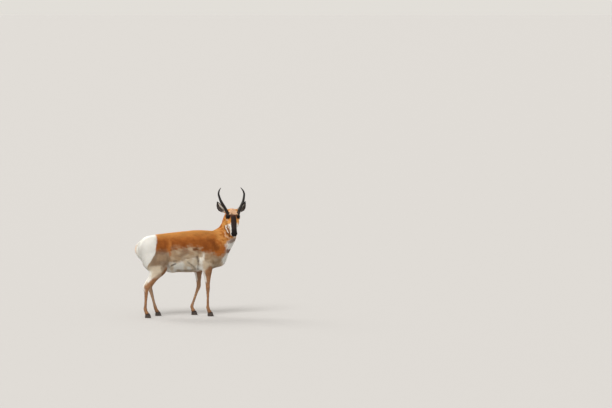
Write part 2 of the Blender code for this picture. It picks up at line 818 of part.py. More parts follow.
def lock(surface, root, lie, length, width, lift, thick=0.0045, sunk=0.007, steps=3):
    """A flat tapered lock that grows from the surface and lies along it, its tip lifted clear."""
    place, normal, _, _ = surface.find_nearest(root)
    heading = Vector(lie)
    bm = bmesh.new()
    loops = []
    for i in range(steps):
        share = i / steps
        heading = (heading - normal * heading.dot(normal)).normalized()
        side = heading.cross(normal)
        height = -sunk if i == 0 else lift * share**1.3 + thick * 0.2
        half = width / 2 * (0.75, 1.0, 0.72)[i]
        centre = place + normal * height
        offsets = (side * half, normal * thick / 2, side * -half, normal * thick / -2)
        loops.append([bm.verts.new(centre + offset) for offset in offsets])
        place, normal, _, _ = surface.find_nearest(place + heading * length / steps)
    tip = bm.verts.new(place + normal * lift)
    for first, second in zip(loops, loops[1:]):
        for k in range(4):
            n = (k + 1) % 4
            bm.faces.new((first[k], first[n], second[n], second[k]))
    for k in range(4):
        bm.faces.new((loops[-1][k], loops[-1][(k + 1) % 4], tip))
    bm.faces.new(loops[0])
    return object_from("lock", bm)


def rump_locks(surface, rng):
    """The long white hair of the rump patch, in tiers from the croup down the back of the thighs."""
    locks = []
    tiers, across = 7, 9
    for tier in range(tiers):
        share = tier / (tiers - 1)
        height = 0.838 - 0.262 * share
        for k in range(across):
            spread = (k + 0.5 * (tier % 2)) / (across - 0.5) * 2 - 1
            angle = spread * math.radians(98 - 30 * share)
            outward = Vector((-math.cos(angle), math.sin(angle), 0.0))
            hit = surface.ray_cast(Vector((-0.38, 0, height)) + outward * 0.4, -outward)[0]
            if hit is None or (abs(hit.y) < 0.040 and height > 0.62):
                continue
            lie = Vector((-0.55 + 0.35 * share, 0.25 * math.sin(angle), -0.85))
            locks.append(lock(surface, hit, lie, 0.062 * rng.uniform(0.9, 1.1), 0.046, 0.011))
    return locks


def mane_locks(surface, rng):
    """The short mane along the nape."""
    locks = []
    count = 9
    for i in range(count):
        share = i / (count - 1)
        guess = Vector((0.372, 0.012, 0.950)).lerp(Vector((0.398, 0.026, 1.004)), share)
        guess.y += 0.011 * (-1) ** i + rng.uniform(-0.003, 0.003)
        lie = Vector((-0.30, 0.03 * (-1) ** i, -0.95))
        locks.append(lock(surface, guess, lie, 0.050 * rng.uniform(0.85, 1.1), 0.025, 0.008))
    return locks


def crown_locks(surface, rng):
    """The tuft on the crown between the horns and the ears."""
    locks = []
    for i in range(7):
        left = (i - 3) * 0.0066 + rng.uniform(-0.001, 0.001)
        guess = on_head(-0.040 - 0.016 * (i % 2), 0.080, left)
        lie = -FACE + LEFT * left * 2
        locks.append(lock(surface, guess, lie, 0.044 * rng.uniform(0.9, 1.1), 0.016, 0.014, thick=0.0045))
    return locks


def tail_locks(surface, rng):
    """The hair of the tail, in three tiers round it."""
    locks = []
    for tier in range(3):
        for k in (-1, 0, 1):
            across = 0.020 * k + 0.004 * (tier % 2) + rng.uniform(-0.001, 0.001)
            guess = Vector((-0.56, across, 0.752 - 0.028 * tier))
            lie = Vector((0.05, 0.12 * k, -1))
            length = 0.046 * rng.uniform(0.9, 1.1)
            locks.append(lock(surface, guess, lie, length, 0.019, 0.007, thick=0.0045, sunk=0.005))
    return locks


def with_locks(obj, locks_from, rng):
    """Fuses locks into the node that they grow from."""
    surface = BVHTree.FromObject(obj, bpy.context.evaluated_depsgraph_get())
    boolean(obj, locks_from(surface, rng), "UNION")
    return keep_largest(obj)


def nearest_named(pieces, places):
    """Pairs each name with the piece whose middle is nearest to its place."""
    found = {}
    for name, place in places.items():
        found[name] = min(pieces, key=lambda piece: (middle_of(piece) - place).length)
    return found


def box_of(objects):
    """The lowest and highest corners of the box round the objects' meshes."""
    places = [vert.co for obj in objects for vert in obj.data.vertices]
    low = Vector([min(place[i] for place in places) for i in range(3)])
    high = Vector([max(place[i] for place in places) for i in range(3)])
    return low, high


def middle_of(obj):
    low, high = box_of([obj])
    return (low + high) / 2


def leg_nodes(all_legs):
    """Parts each leg at its hock or knee, and names the pieces."""
    for name, joints in LEGS.items():
        leg = nearest_named(all_legs, {name: joints.upper.lerp(joints.fetlock, 0.45)})[name]
        height = HOCK_CUT_HEIGHT if name.startswith("hind") else KNEE_CUT_HEIGHT
        lower, upper = parted(leg, Vector((0, 0, height)), (0, 0, 1))
        sole_side = (CORONET_SLOPE, 0, -1)
        boolean(lower, [half_space(joints.coronet, sole_side)], "DIFFERENCE")
        top, bottom = ("gaskin", "cannon") if name.startswith("hind") else ("forearm", "cannon")
        finish(upper, f"leg_{name}_{top}", "coat_leg")
        finish(lower, f"leg_{name}_{bottom}", "coat_leg")
        for side, toe_side in ((-1, "right"), (1, "left")):
            finish(toe(name, side), f"hoof_{name}_{toe_side}_toe", "hoof")


def stand_on_origin():
    """Moves the whole animal so that the middle of its box stands over the origin."""
    nodes = [obj for obj in bpy.context.scene.objects if obj.type == "MESH"]
    low, high = box_of(nodes)
    shift = Matrix.Translation((-(low.x + high.x) / 2, -(low.y + high.y) / 2, -low.z))
    for obj in nodes:
        obj.data.transform(shift)


def main():
    clear_scene()
    rng = random.Random(11)

    head = head_node(neck())
    fused = fuse("flesh", body_forms() + skull_forms(), BODY_VOXEL, 5)
    soften(fused, 14, lambda place: place.z > LEG_CUT_HEIGHT + 0.03)
    flesh, spare_head = parted(fused, HEAD_CUT, HEAD_CUT_FACES)
    remove(spare_head)
    thin_to(flesh, FLESH_TRIANGLES)
    torso_and_legs, neck_part = parted(flesh, NECK_CUT, NECK_CUT_FACES)
    legs, trunk = parted(torso_and_legs, Vector((0, 0, LEG_CUT_HEIGHT)), (0, 0, 1))
    rump, front = parted(trunk, Vector((RUMP_CUT_X, 0, 0)), (1, 0, 0))
    barrel, shoulders = parted(front, Vector((SHOULDER_CUT_X, 0, 0)), (1, 0, 0))

    plain_rump = swollen(keep_largest(rump), "plain_rump")
    tail = boolean(object_from("tail", sweep(TAIL, sides=12, steps=2)), [plain_rump], "DIFFERENCE")
    finish(with_locks(tail, tail_locks, rng), "tail", "coat_white")
    finish(with_locks(rump, rump_locks, rng), "rump", "coat_white")
    finish(barrel, "barrel", "coat_tan")
    finish(shoulders, "shoulders", "coat_tan")
    finish(with_locks(keep_largest(neck_part), mane_locks, rng), "neck", "coat_tan")
    leg_nodes(separate(legs))

    for hand, side in ((-1, "right"), (1, "left")):
        finish(horn_node(hand, head), f"horn_{side}", "horn")
        finish(ear_node(hand, head), f"ear_{side}", "coat_tan")
        finish(eyeball(hand, EYE_RADIUS), f"eye_{side}", "eye")
    finish(with_locks(head, crown_locks, rng), "head", "coat_dark")
    stand_on_origin()


main()
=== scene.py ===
"""The finished look of a life-size, still pronghorn buck.

One skin stands for all the pieces of flesh. Solid tufts of hair grow from it along the lie of the
coat, and skin and hair take the same markings from one set of rules. Horns, hooves and eyes are
separate pieces. Metres, +Z up. The buck faces +X and turns its head to its right, towards -Y.
"""

import json
import logging
import math
from dataclasses import dataclass
from enum import Enum
from typing import Callable, Iterable, Sequence

import bmesh
import bpy
import numpy as np
from mathutils import Matrix, Vector
from mathutils.bvhtree import BVHTree

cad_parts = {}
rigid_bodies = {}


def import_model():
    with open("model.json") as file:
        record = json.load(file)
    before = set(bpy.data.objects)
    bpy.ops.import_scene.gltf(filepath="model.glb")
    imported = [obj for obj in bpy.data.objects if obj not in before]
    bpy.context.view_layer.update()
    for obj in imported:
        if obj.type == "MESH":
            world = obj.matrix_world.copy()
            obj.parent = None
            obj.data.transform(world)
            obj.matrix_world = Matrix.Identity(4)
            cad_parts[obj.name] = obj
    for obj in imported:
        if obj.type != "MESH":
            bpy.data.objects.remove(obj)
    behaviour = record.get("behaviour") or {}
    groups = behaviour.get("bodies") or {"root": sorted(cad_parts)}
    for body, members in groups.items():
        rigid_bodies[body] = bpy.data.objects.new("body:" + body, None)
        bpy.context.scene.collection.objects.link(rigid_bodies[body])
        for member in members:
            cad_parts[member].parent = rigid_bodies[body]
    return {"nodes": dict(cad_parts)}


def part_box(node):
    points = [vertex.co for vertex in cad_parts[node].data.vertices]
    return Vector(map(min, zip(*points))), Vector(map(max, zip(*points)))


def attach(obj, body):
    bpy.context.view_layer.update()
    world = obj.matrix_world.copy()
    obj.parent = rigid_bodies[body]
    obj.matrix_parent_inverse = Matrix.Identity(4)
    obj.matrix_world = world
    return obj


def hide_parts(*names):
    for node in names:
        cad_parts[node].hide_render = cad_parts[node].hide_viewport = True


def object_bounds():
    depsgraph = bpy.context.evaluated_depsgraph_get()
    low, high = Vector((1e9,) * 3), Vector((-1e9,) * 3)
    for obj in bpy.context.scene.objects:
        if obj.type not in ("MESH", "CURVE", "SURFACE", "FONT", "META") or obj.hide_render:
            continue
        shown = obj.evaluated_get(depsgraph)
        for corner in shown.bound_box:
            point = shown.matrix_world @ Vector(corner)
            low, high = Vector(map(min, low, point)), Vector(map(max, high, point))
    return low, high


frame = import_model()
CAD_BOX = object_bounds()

LOG = logging.getLogger("pronghorn")
Array = np.ndarray
Colour = tuple[float, float, float]
Table = tuple[tuple[float, ...], tuple[float, ...]]
Layers = list[tuple[Array | Colour, Array]]
Mesh = bpy.types.Mesh
Thing = bpy.types.Object
Material = bpy.types.Material
BODY = "root"
PAINT = "coat"


class Side(Enum):
    """The animal's own sides, as the sign of the way to its left."""

    RIGHT = -1
    LEFT = 1

    @property
    def word(self) -> str:
        """The side's name as the frame's nodes spell it."""
        return self.name.lower()


class Limb(Enum):
    """The four legs: the names of their nodes."""

    FORE_RIGHT = "fore_right"
    FORE_LEFT = "fore_left"
    HIND_RIGHT = "hind_right"
    HIND_LEFT = "hind_left"


# Sums on arrays
def srgb(red: float, green: float, blue: float) -> Colour:
    """A colour read from the screen, 0 to 255 a channel, as linear light."""
    values = [channel / 255.0 for channel in (red, green, blue)]
    return tuple(v / 12.92 if v <= 0.04045 else ((v + 0.055) / 1.055) ** 2.4 for v in values)


def shade(colour: Colour, factor: float) -> Colour:
    """The colour made darker."""
    return tuple(channel * factor for channel in colour)


def ramp(low: float, high: float, value: Array) -> Array:
    """Rises smoothly from 0 at low to 1 at high, or falls where low is above high."""
    share = np.clip((value - low) / (high - low), 0.0, 1.0)
    return share * share * (3 - 2 * share)


def band(value: Array, middle: Array | float, half: float, soft: float) -> Array:
    """1 within half of the middle, falling to 0 over the soft edge."""
    return 1 - ramp(half, half + soft, np.abs(value - middle))


def bell(far: Array, width: float) -> Array:
    """1 where the distance is 0, falling away over about this width."""
    return np.exp(-((far / width) ** 2))


def towards(value: Array, target: Array | float, share: Array) -> Array:
    """The value moved a share of the way to the target."""
    return value + (target - value) * share


def ripple(points: Array, size: float, seed: int, waves: int = 7) -> Array:
    """Smooth noise between about -1 and 1, with patches of this size.

    Args:
        points: the places to read it at, N by 3.
        size: the width of a patch in metres.
        seed: chooses the pattern.
        waves: how many waves are laid over each other.

    Returns:
        One value a point.
    """
    draw = np.random.default_rng(seed)
    total = np.zeros(len(points))
    for _ in range(waves):
        way = draw.normal(size=3)
        way *= math.pi / size / np.linalg.norm(way) * draw.uniform(0.6, 1.5)
        total += np.sin(points @ way + draw.uniform(0, 2 * math.pi))
    return total / math.sqrt(waves)


def unit(vectors: Array) -> Array:
    """The vectors at length 1."""
    return vectors / np.maximum(np.linalg.norm(vectors, axis=-1, keepdims=True), 1e-9)


def along_surface(vectors: Array, normals: Array) -> Array:
    """The vectors turned flat to the surface and set to length 1."""
    return unit(vectors - normals * np.sum(vectors * normals, axis=1, keepdims=True))


def lay(under: Array, colour: Array | Colour, cover: Array) -> Array:
    """A colour laid over others, where cover is from 0 to 1."""
    return under + (np.asarray(colour) - under) * np.clip(cover, 0, 1)[:, None]


def even(colour: Colour, like: Array) -> Array:
    """One colour for each entry of another array."""
    return np.tile(colour, (len(like), 1))


def laid(under: Array, layers: Layers) -> Array:
    """The colours with all the layers over them, the first the lowest."""
    for colour, cover in layers:
        under = lay(under, colour, cover)
    return under


def relax(values: Array, edges: Array, rounds: int, strength: Array) -> Array:
    """Moves each point's value towards the mean of its neighbours.

    Args:
        values: N by K values.
        edges: pairs of neighbours.
        rounds: how many times.
        strength: one share a point, 0 to hold it.

    Returns:
        The smoothed values.
    """
    count = len(values)
    first, second = edges[:, 0], edges[:, 1]
    neighbours = np.maximum(np.bincount(edges.ravel(), minlength=count), 1)
    values = values.copy()
    for _ in range(rounds):
        for k in range(values.shape[1]):
            column = values[:, k]
            total = np.bincount(first, column[second], count) + np.bincount(second, column[first], count)
            values[:, k] = column + (total / neighbours - column) * strength
    return values


def near_course(points: Array, course: Array) -> Array:
    """The distance of each point to a line drawn through the points of a course."""
    best = np.full(len(points), 1e9)
    for start, end in zip(course, course[1:]):
        way = end - start
        share = np.clip((points - start) @ way / max(way @ way, 1e-12), 0, 1)
        best = np.minimum(best, np.linalg.norm(points - start - share[:, None] * way, axis=1))
    return best


# Meshes as arrays
def numbers_of(items: Sequence, name: str, each: int, kind: type = np.float32) -> Array:
    """One property of all items of a mesh, in rows of this many numbers."""
    flat = np.empty(len(items) * each, kind)
    items.foreach_get(name, flat)
    return flat.reshape(-1, each)


def points_of(mesh: Mesh) -> Array:
    """The places of a mesh's vertices, N by 3."""
    return numbers_of(mesh.vertices, "co", 3).astype(float)


def normals_of(mesh: Mesh) -> Array:
    """The normals of a mesh's vertices, N by 3."""
    return unit(numbers_of(mesh.vertices, "normal", 3).astype(float))


def edges_of(mesh: Mesh) -> Array:
    """The pairs of vertices that a mesh's edges join."""
    return numbers_of(mesh.edges, "vertices", 2, np.int32)


def put_points(mesh: Mesh, points: Array) -> None:
    """Moves a mesh's vertices to the given places."""
    mesh.vertices.foreach_set("co", points.astype(np.float32).ravel())
    mesh.update()


def smoothed(mesh: Mesh, rounds: int, strength: float) -> Array:
    """The places of a mesh's vertices, evenly smoothed."""
    return relax(points_of(mesh), edges_of(mesh), rounds, np.full(len(mesh.vertices), strength))


def paint(mesh: Mesh, colours: Array) -> None:
    """Stores one colour a vertex, which the materials read."""
    layer = mesh.color_attributes.get(PAINT) or mesh.color_attributes.new(PAINT, "FLOAT_COLOR", "POINT")
    full = np.ones((len(colours), 4), np.float32)
    full[:, :3] = np.clip(colours, 0, 1)
    layer.data.foreach_set("color", full.ravel())


def linked(name: str, data: bpy.types.ID) -> Thing:
    """A new object of this data in the scene."""
    obj = bpy.data.objects.new(name, data)
    bpy.context.scene.collection.objects.link(obj)
    return obj


def object_of(name: str, bm: bmesh.types.BMesh) -> Thing:
    """A linked object with its own mesh from a bmesh, which is then freed."""
    mesh = bpy.data.meshes.new(name)
    bm.to_mesh(mesh)
    bm.free()
    return linked(name, mesh)


def settled(obj: Thing) -> Thing:
    """Applies the object's modifiers to its mesh."""
    graph = bpy.context.evaluated_depsgraph_get()
    mesh = bpy.data.meshes.new_from_object(obj.evaluated_get(graph))
    obj.modifiers.clear()
    obj.data = mesh
    return obj


def copies_of(names: Iterable[str], swell: float = 0.0) -> bmesh.types.BMesh:
    """The frame's nodes of these names in one bmesh, with whole surfaces.

    Args:
        names: the nodes to copy.
        swell: how far their surfaces move out, so that neighbours overlap.

    Returns:
        The joined copies.
    """
    joined = bmesh.new()
    for name in names:
        piece = bmesh.new()
        piece.from_mesh(frame["nodes"][name].data)
        bmesh.ops.remove_doubles(piece, verts=piece.verts, dist=1e-5)
        piece.normal_update()
        for vert in piece.verts:
            vert.co += vert.normal * swell
        mesh = bpy.data.meshes.new("copy")
        piece.to_mesh(mesh)
        piece.free()
        joined.from_mesh(mesh)
        bpy.data.meshes.remove(mesh)
    return joined


def remeshed(obj: Thing, size: float) -> Thing:
    """One even surface round everything in the object, in squares of about this size."""
    remesh = obj.modifiers.new("one surface", "REMESH")
    remesh.mode = "VOXEL"
    remesh.voxel_size = size
    return settled(obj)


def ride(obj: Thing, finish: Material, slot: str, *replaced: str) -> Thing:
    """Dresses a piece, hands it to the frame's one body and hides the nodes it stands for."""
    obj.data.materials.clear()
    obj.data.materials.append(finish)
    obj.data.polygons.foreach_set("material_index", np.zeros(len(obj.data.polygons), np.int32))
    obj.data.shade_smooth()
    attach(obj, BODY)
    if replaced:
        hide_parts(*replaced)
    LOG.info("%s: %d triangles", obj.name, sum(len(face.vertices) - 2 for face in obj.data.polygons))
    return obj


# Where things are on the animal
@dataclass(frozen=True)
class Build:
    """The body's own sizes and the places of its parts, from the middle of the trunk on the floor."""

    eyes: tuple[float, float, float] = (0.491, -0.128, 1.048)
    eyes_down_face: float = 0.005
    eyes_to_crown: float = 0.022
    pitch_deg: float = 58.0
    head_cut: tuple[float, float, float] = (0.480, -0.070, 0.935)
    head_cut_faces: tuple[float, float, float] = (0.0, -0.707, 0.707)
    neck_cut: tuple[float, float, float] = (0.315, 0.0, 0.905)
    neck_cut_faces: tuple[float, float, float] = (0.739, 0.0, 0.674)
    leg_cut: float = 0.455
    rump_cut: float = -0.215
    shoulder_cut: float = 0.085
    ear_length: float = 0.140
    eye_radius: float = 0.0225
    lid_half_long: float = 0.0195
    lid_half_high: float = 0.0135


class Body:
    """The head's directions and the body's place, read from the eyes in the frame."""

    def __init__(self, build: Build) -> None:
        """Reads where the eyes are and works out the rest from them."""
        self.build = build
        middles = {}
        for side in Side:
            low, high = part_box(f"eye_{side.word}")
            middles[side] = (low + high) / 2
        self.eye = {side: np.array(middle) for side, middle in middles.items()}
        left = middles[Side.LEFT] - middles[Side.RIGHT]
        self.left = Vector((left.x, left.y, 0)).normalized()
        self.ahead = Vector((self.left.y, -self.left.x, 0))
        pitch = math.radians(build.pitch_deg)
        up = Vector((0, 0, 1))
        self.face = self.ahead * math.cos(pitch) - up * math.sin(pitch)
        self.crown = self.ahead * math.sin(pitch) + up * math.cos(pitch)
        between = (middles[Side.LEFT] + middles[Side.RIGHT]) / 2
        self.head = between - self.face * build.eyes_down_face - self.crown * build.eyes_to_crown
        self.shift = self.head - Vector(build.eyes)
        self.axes = np.array([self.face, self.crown, self.left])

    def in_body(self, points: Array) -> Array:
        """Places in the frame as places from the middle of the trunk."""
        return points - np.array(self.shift)

    def in_head(self, points: Array) -> Array:
        """Places in the frame as ways down the face, towards the crown and to the left."""
        return (points - np.array(self.head)) @ self.axes.T

    def on_head(self, face: float, crown: float, left: float = 0.0) -> Vector:
        """The place in the frame of a point of the head."""
        return self.head + self.face * face + self.crown * crown + self.left * left

    def past_cut(self, points: Array, place: Sequence[float], facing: Sequence[float]) -> Array:
        """How far each place in the frame lies past one of the cuts that part the body."""
        return (self.in_body(points) - np.array(place)) @ np.array(facing)

    def eye_axes(self, side: Side) -> tuple[Array, Array, Array]:
        """One eye's directions: out of the head, towards its front corner, and up."""
        out = (self.left * side.value + self.ahead * 0.36 + Vector((0, 0, 0.04))).normalized()
        corner = self.face * 0.94 - self.crown * 0.34
        corner = (corner - out * corner.dot(out)).normalized()
        return np.array(out), np.array(corner), np.array(out.cross(corner) * -side.value)

    def round_eye(self, points: Array, side: Side) -> tuple[Array, Array]:
        """Each place's distance from the middle of one eye, and its way out of the head from there."""
        way = points - self.eye[side]
        return np.linalg.norm(way, axis=1), way @ self.eye_axes(side)[0]

    def ear_axes(self, side: Side) -> tuple[Array, Array, Array, Array]:
        """One ear's root and its directions: to the tip, to its lower edge, and out of its cup."""
        up = Vector((0, 0, 1))
        along = (self.left * side.value * 0.092 - self.ahead * 0.025 + up * 0.100).normalized()
        cup = self.ahead * 0.85 + self.left * side.value * 0.35
        cup = (cup - along * cup.dot(along)).normalized()
        across = cup.cross(along)
        if across.z > 0:
            across = -across
        root = self.on_head(-0.070, 0.004, side.value * 0.061)
        return np.array(root), np.array(along), np.array(across), np.array(cup)

    def in_ear(self, points: Array, side: Side) -> tuple[Array, Array, Array]:
        """Each place's share of the ear's length, its way to the lower edge and its way out of the cup."""
        root, along, across, cup = self.ear_axes(side)
        way = points - root
        share = way @ along / self.build.ear_length
        bow = 0.022 * np.sin(math.pi * np.clip(share, 0, 1))
        return share, way @ across - bow, way @ cup + 0.008 * share**2


# Colours
@dataclass(frozen=True)
class CoatColours:
    """The colours of the coat, as linear light."""

    tan: Colour = srgb(182, 106, 46)
    gold: Colour = srgb(222, 160, 88)
    russet: Colour = srgb(134, 72, 30)
    rust: Colour = srgb(122, 72, 48)
    white: Colour = srgb(253, 249, 241)
    cream: Colour = srgb(226, 210, 186)
    flank: Colour = srgb(178, 150, 120)
    grey: Colour = srgb(132, 108, 88)
    leg: Colour = srgb(170, 124, 88)
    leg_dark: Colour = srgb(122, 86, 66)
    buff: Colour = srgb(228, 190, 156)
    blaze: Colour = srgb(46, 35, 33)
    black: Colour = srgb(22, 17, 16)
    ear: Colour = srgb(170, 128, 88)
    ear_hair: Colour = srgb(236, 226, 214)


@dataclass(frozen=True)
class Stripe:
    """A line of another colour, drawn along a course. Half its width is in metres."""

    course: tuple[tuple[float, float], ...]
    half: float
    colour: Colour
    cover: float = 0.92


# Lines on the body, each a row of places. Those on the trunk are along the body and above the floor.
# Those on the head are down the face, towards the crown and, where there is a third number, to the side.
MOUTH = np.array([(0.150, -0.0375), (0.168, -0.0390), (0.185, -0.0425), (0.200, -0.0470), (0.211, -0.0490)])
NOSTRIL = np.array([
    (0.194, 0.007, 0.0285), (0.203, 0.002, 0.0230), (0.209, -0.006, 0.0165), (0.2095, -0.014, 0.0145),
])
TEAR_LINE = np.array([(0.034, 0.008, 0.0575), (0.060, 0.002, 0.0500), (0.090, -0.006, 0.0390)])
CHEEKBONE = np.array([(0.000, -0.030, 0.062), (0.060, -0.030, 0.050), (0.110, -0.030, 0.036)])
JAW_EDGE_SHADE = np.array([(0.070, -0.028), (0.105, -0.036), (0.140, -0.043)])
UNDER_EYE = np.array([(0.033, 0.002), (0.039, 0.020)])
EYE_PATCH = np.array([(-0.002, 0.009, 0.0600), (0.005, 0.022, 0.0555), (0.013, 0.040, 0.0530)])
EYE_TO_HORN = np.array([(0.005, 0.034, 0.0555), (-0.022, 0.060, 0.0500)])
RUST_AND_SHADE_BRIDGE = (0.028, 0.046, 0.042)
NECK_FOLD_SHADE = np.array([(0.240, 0.835), (0.280, 0.780), (0.325, 0.715)])

# The markings' edges: places along the body, then how high the edge runs there
TAN_EDGE: Table = (
    (-0.34, -0.20, -0.17, -0.02, 0.06, 0.12, 0.20, 0.27, 0.34, 0.42),
    (0.700, 0.695, 0.742, 0.742, 0.735, 0.725, 0.695, 0.665, 0.630, 0.640),
)
BELLY_EDGE: Table = (
    (-0.25, -0.19, -0.04, 0.10, 0.14, 0.20, 0.30, 0.40),
    (0.54, 0.580, 0.600, 0.640, 0.66, 0.60, 0.55, 0.56),
)
FORE_LEG_TOP: Table = ((0.06, 0.10, 0.19, 0.24, 0.27, 0.30), (0.40, 0.48, 0.49, 0.55, 0.52, 0.40))
HIND_LEG_TOP: Table = (
    (-0.445, -0.384, -0.305, -0.235, -0.205, -0.19),
    (0.36, 0.42, 0.477, 0.544, 0.50, 0.40),
)
# Heights, then how far along the body the rump's white begins, and how far forward the chest's white faces
RUMP_EDGE: Table = (
    (0.40, 0.52, 0.57, 0.608, 0.685, 0.71, 0.78, 0.86, 0.90),
    (-0.455, -0.445, -0.425, -0.40, -0.36, -0.345, -0.336, -0.315, -0.33),
)
CHEST_EDGE: Table = ((0.655, 0.690, 0.730, 0.765, 0.800, 0.830), (0.30, 0.16, 0.18, 0.02, 0.10, 0.30))
# Ways down the face, then half the blaze's width, and shares of the ear's length, then half its width
BLAZE_HALF: Table = (
    (0.005, 0.02, 0.06, 0.10, 0.14, 0.17, 0.21),
    (0.0190, 0.0260, 0.0305, 0.0300, 0.0272, 0.0285, 0.0330),
)
EAR_HALF: Table = ((0, 0.2, 0.42, 0.62, 0.8, 1.0), (0.018, 0.028, 0.0325, 0.029, 0.020, 0.003))

# Shares of the lids' size round the eye, then how far the skin there stands off the eyeball in millimetres
LID_RINGS: Table = (
    (0.0, 0.90, 0.97, 1.03, 1.14, 1.34, 1.50, 1.75),
    (-2.5, -2.0, 0.0, 1.0, 1.6, 1.3, 1.4, 2.4),
)

# Painted shade: dark lines in the coat along the folds behind elbow and stifle, where shadow falls in the
# folds
FOLD_SHADE_COLOUR = shade(CoatColours.grey, 0.50)
FOLD_SHADE_LINES = (
    Stripe(((0.110, 0.636), (0.119, 0.590)), 0.014, FOLD_SHADE_COLOUR, 0.78),
    Stripe(((0.119, 0.590), (0.126, 0.505)), 0.009, FOLD_SHADE_COLOUR, 0.60),
    Stripe(((0.000, 0.588), (0.050, 0.550), (0.100, 0.505)), 0.006, FOLD_SHADE_COLOUR, 0.58),
    Stripe(((-0.163, 0.549), (-0.128, 0.567)), 0.010, FOLD_SHADE_COLOUR, 0.80),
    Stripe(((-0.148, 0.594), (-0.122, 0.599)), 0.008, FOLD_SHADE_COLOUR, 0.45),
    Stripe(((-0.205, 0.556), (-0.180, 0.530)), 0.007, FOLD_SHADE_COLOUR, 0.40),
)

# Upright streaks before the thigh: the place along the body, the colour and the cover
THIGH_STREAKS = (
    (-0.236, CoatColours.russet, 0.6),
    (-0.184, CoatColours.gold, 0.5),
    (-0.158, CoatColours.russet, 0.6),
)

# Brown bands across the white of the chest: the height, half the width and the cover
CHEST_BANDS = ((0.690, 0.020, 0.85), (0.804, 0.014, 0.70))

# Bands of the throat, outermost first, by the way aside from the head's middle and the height
THROAT_BANDS = (
    Stripe(((0.078, 0.887), (0.071, 0.858), (0.048, 0.837), (0.007, 0.822)), 0.0060,
           shade(CoatColours.buff, 0.95)),
    Stripe(((0.075, 0.955), (0.071, 0.925), (0.057, 0.896), (0.045, 0.871), (0.018, 0.850)), 0.0055,
           shade(CoatColours.russet, 0.75)),
    Stripe(((0.066, 0.956), (0.056, 0.919), (0.038, 0.884)), 0.0050, CoatColours.white),
    Stripe(((0.054, 0.950), (0.046, 0.928), (0.031, 0.901), (0.024, 0.878), (0.020, 0.855)), 0.0045,
           shade(CoatColours.rust, 0.75)),
    Stripe(((0.045, 0.966), (0.036, 0.948), (0.027, 0.934), (0.012, 0.898), (0.004, 0.872)), 0.0075,
           CoatColours.white),
)


def mirrored(course: Array, side: Side) -> Array:
    """A line of the head as it runs on this side."""
    return course * (1, 1, side.value)


@dataclass
class TrunkPlaces:
    """Places from the middle of the trunk, with the noise that roughens the markings' edges there."""

    points: Array
    normals: Array

    def __post_init__(self) -> None:
        """Works out the noise and the places moved by it."""
        self.x, self.y, self.z = self.points.T
        self.rag = 0.008 * ripple(self.points, 0.035, 3) + 0.004 * ripple(self.points, 0.010, 4)
        self.ragged_x, self.ragged_z = self.x + self.rag, self.z + self.rag
        self.patchy = ripple(self.points, 0.060, 5)
        self.fine = ripple(self.points, 0.018, 6)
        self.pale_gaskin = band(self.ragged_x, -0.345, 0.055, 0.025) * band(self.z, 0.490, 0.050, 0.03)


@dataclass
class FacePlaces:
    """Places in the head's own directions, with the noise that roughens the markings' edges there."""

    points: Array

    def __post_init__(self) -> None:
        """Works out the noise and the places moved by it: down the face, towards the crown and aside."""
        rag = 0.0011 * ripple(self.points, 0.012, 11) + 0.0004 * ripple(self.points, 0.005, 12)
        self.down = self.points[:, 0] + rag
        self.crown = self.points[:, 1] + rag
        self.aside = np.abs(self.points[:, 2]) + rag
        self.around = np.stack([self.down, self.crown, self.aside], 1)
        self.loose = 0.0050 * ripple(self.points, 0.022, 18) + 0.0020 * ripple(self.points, 0.008, 19)


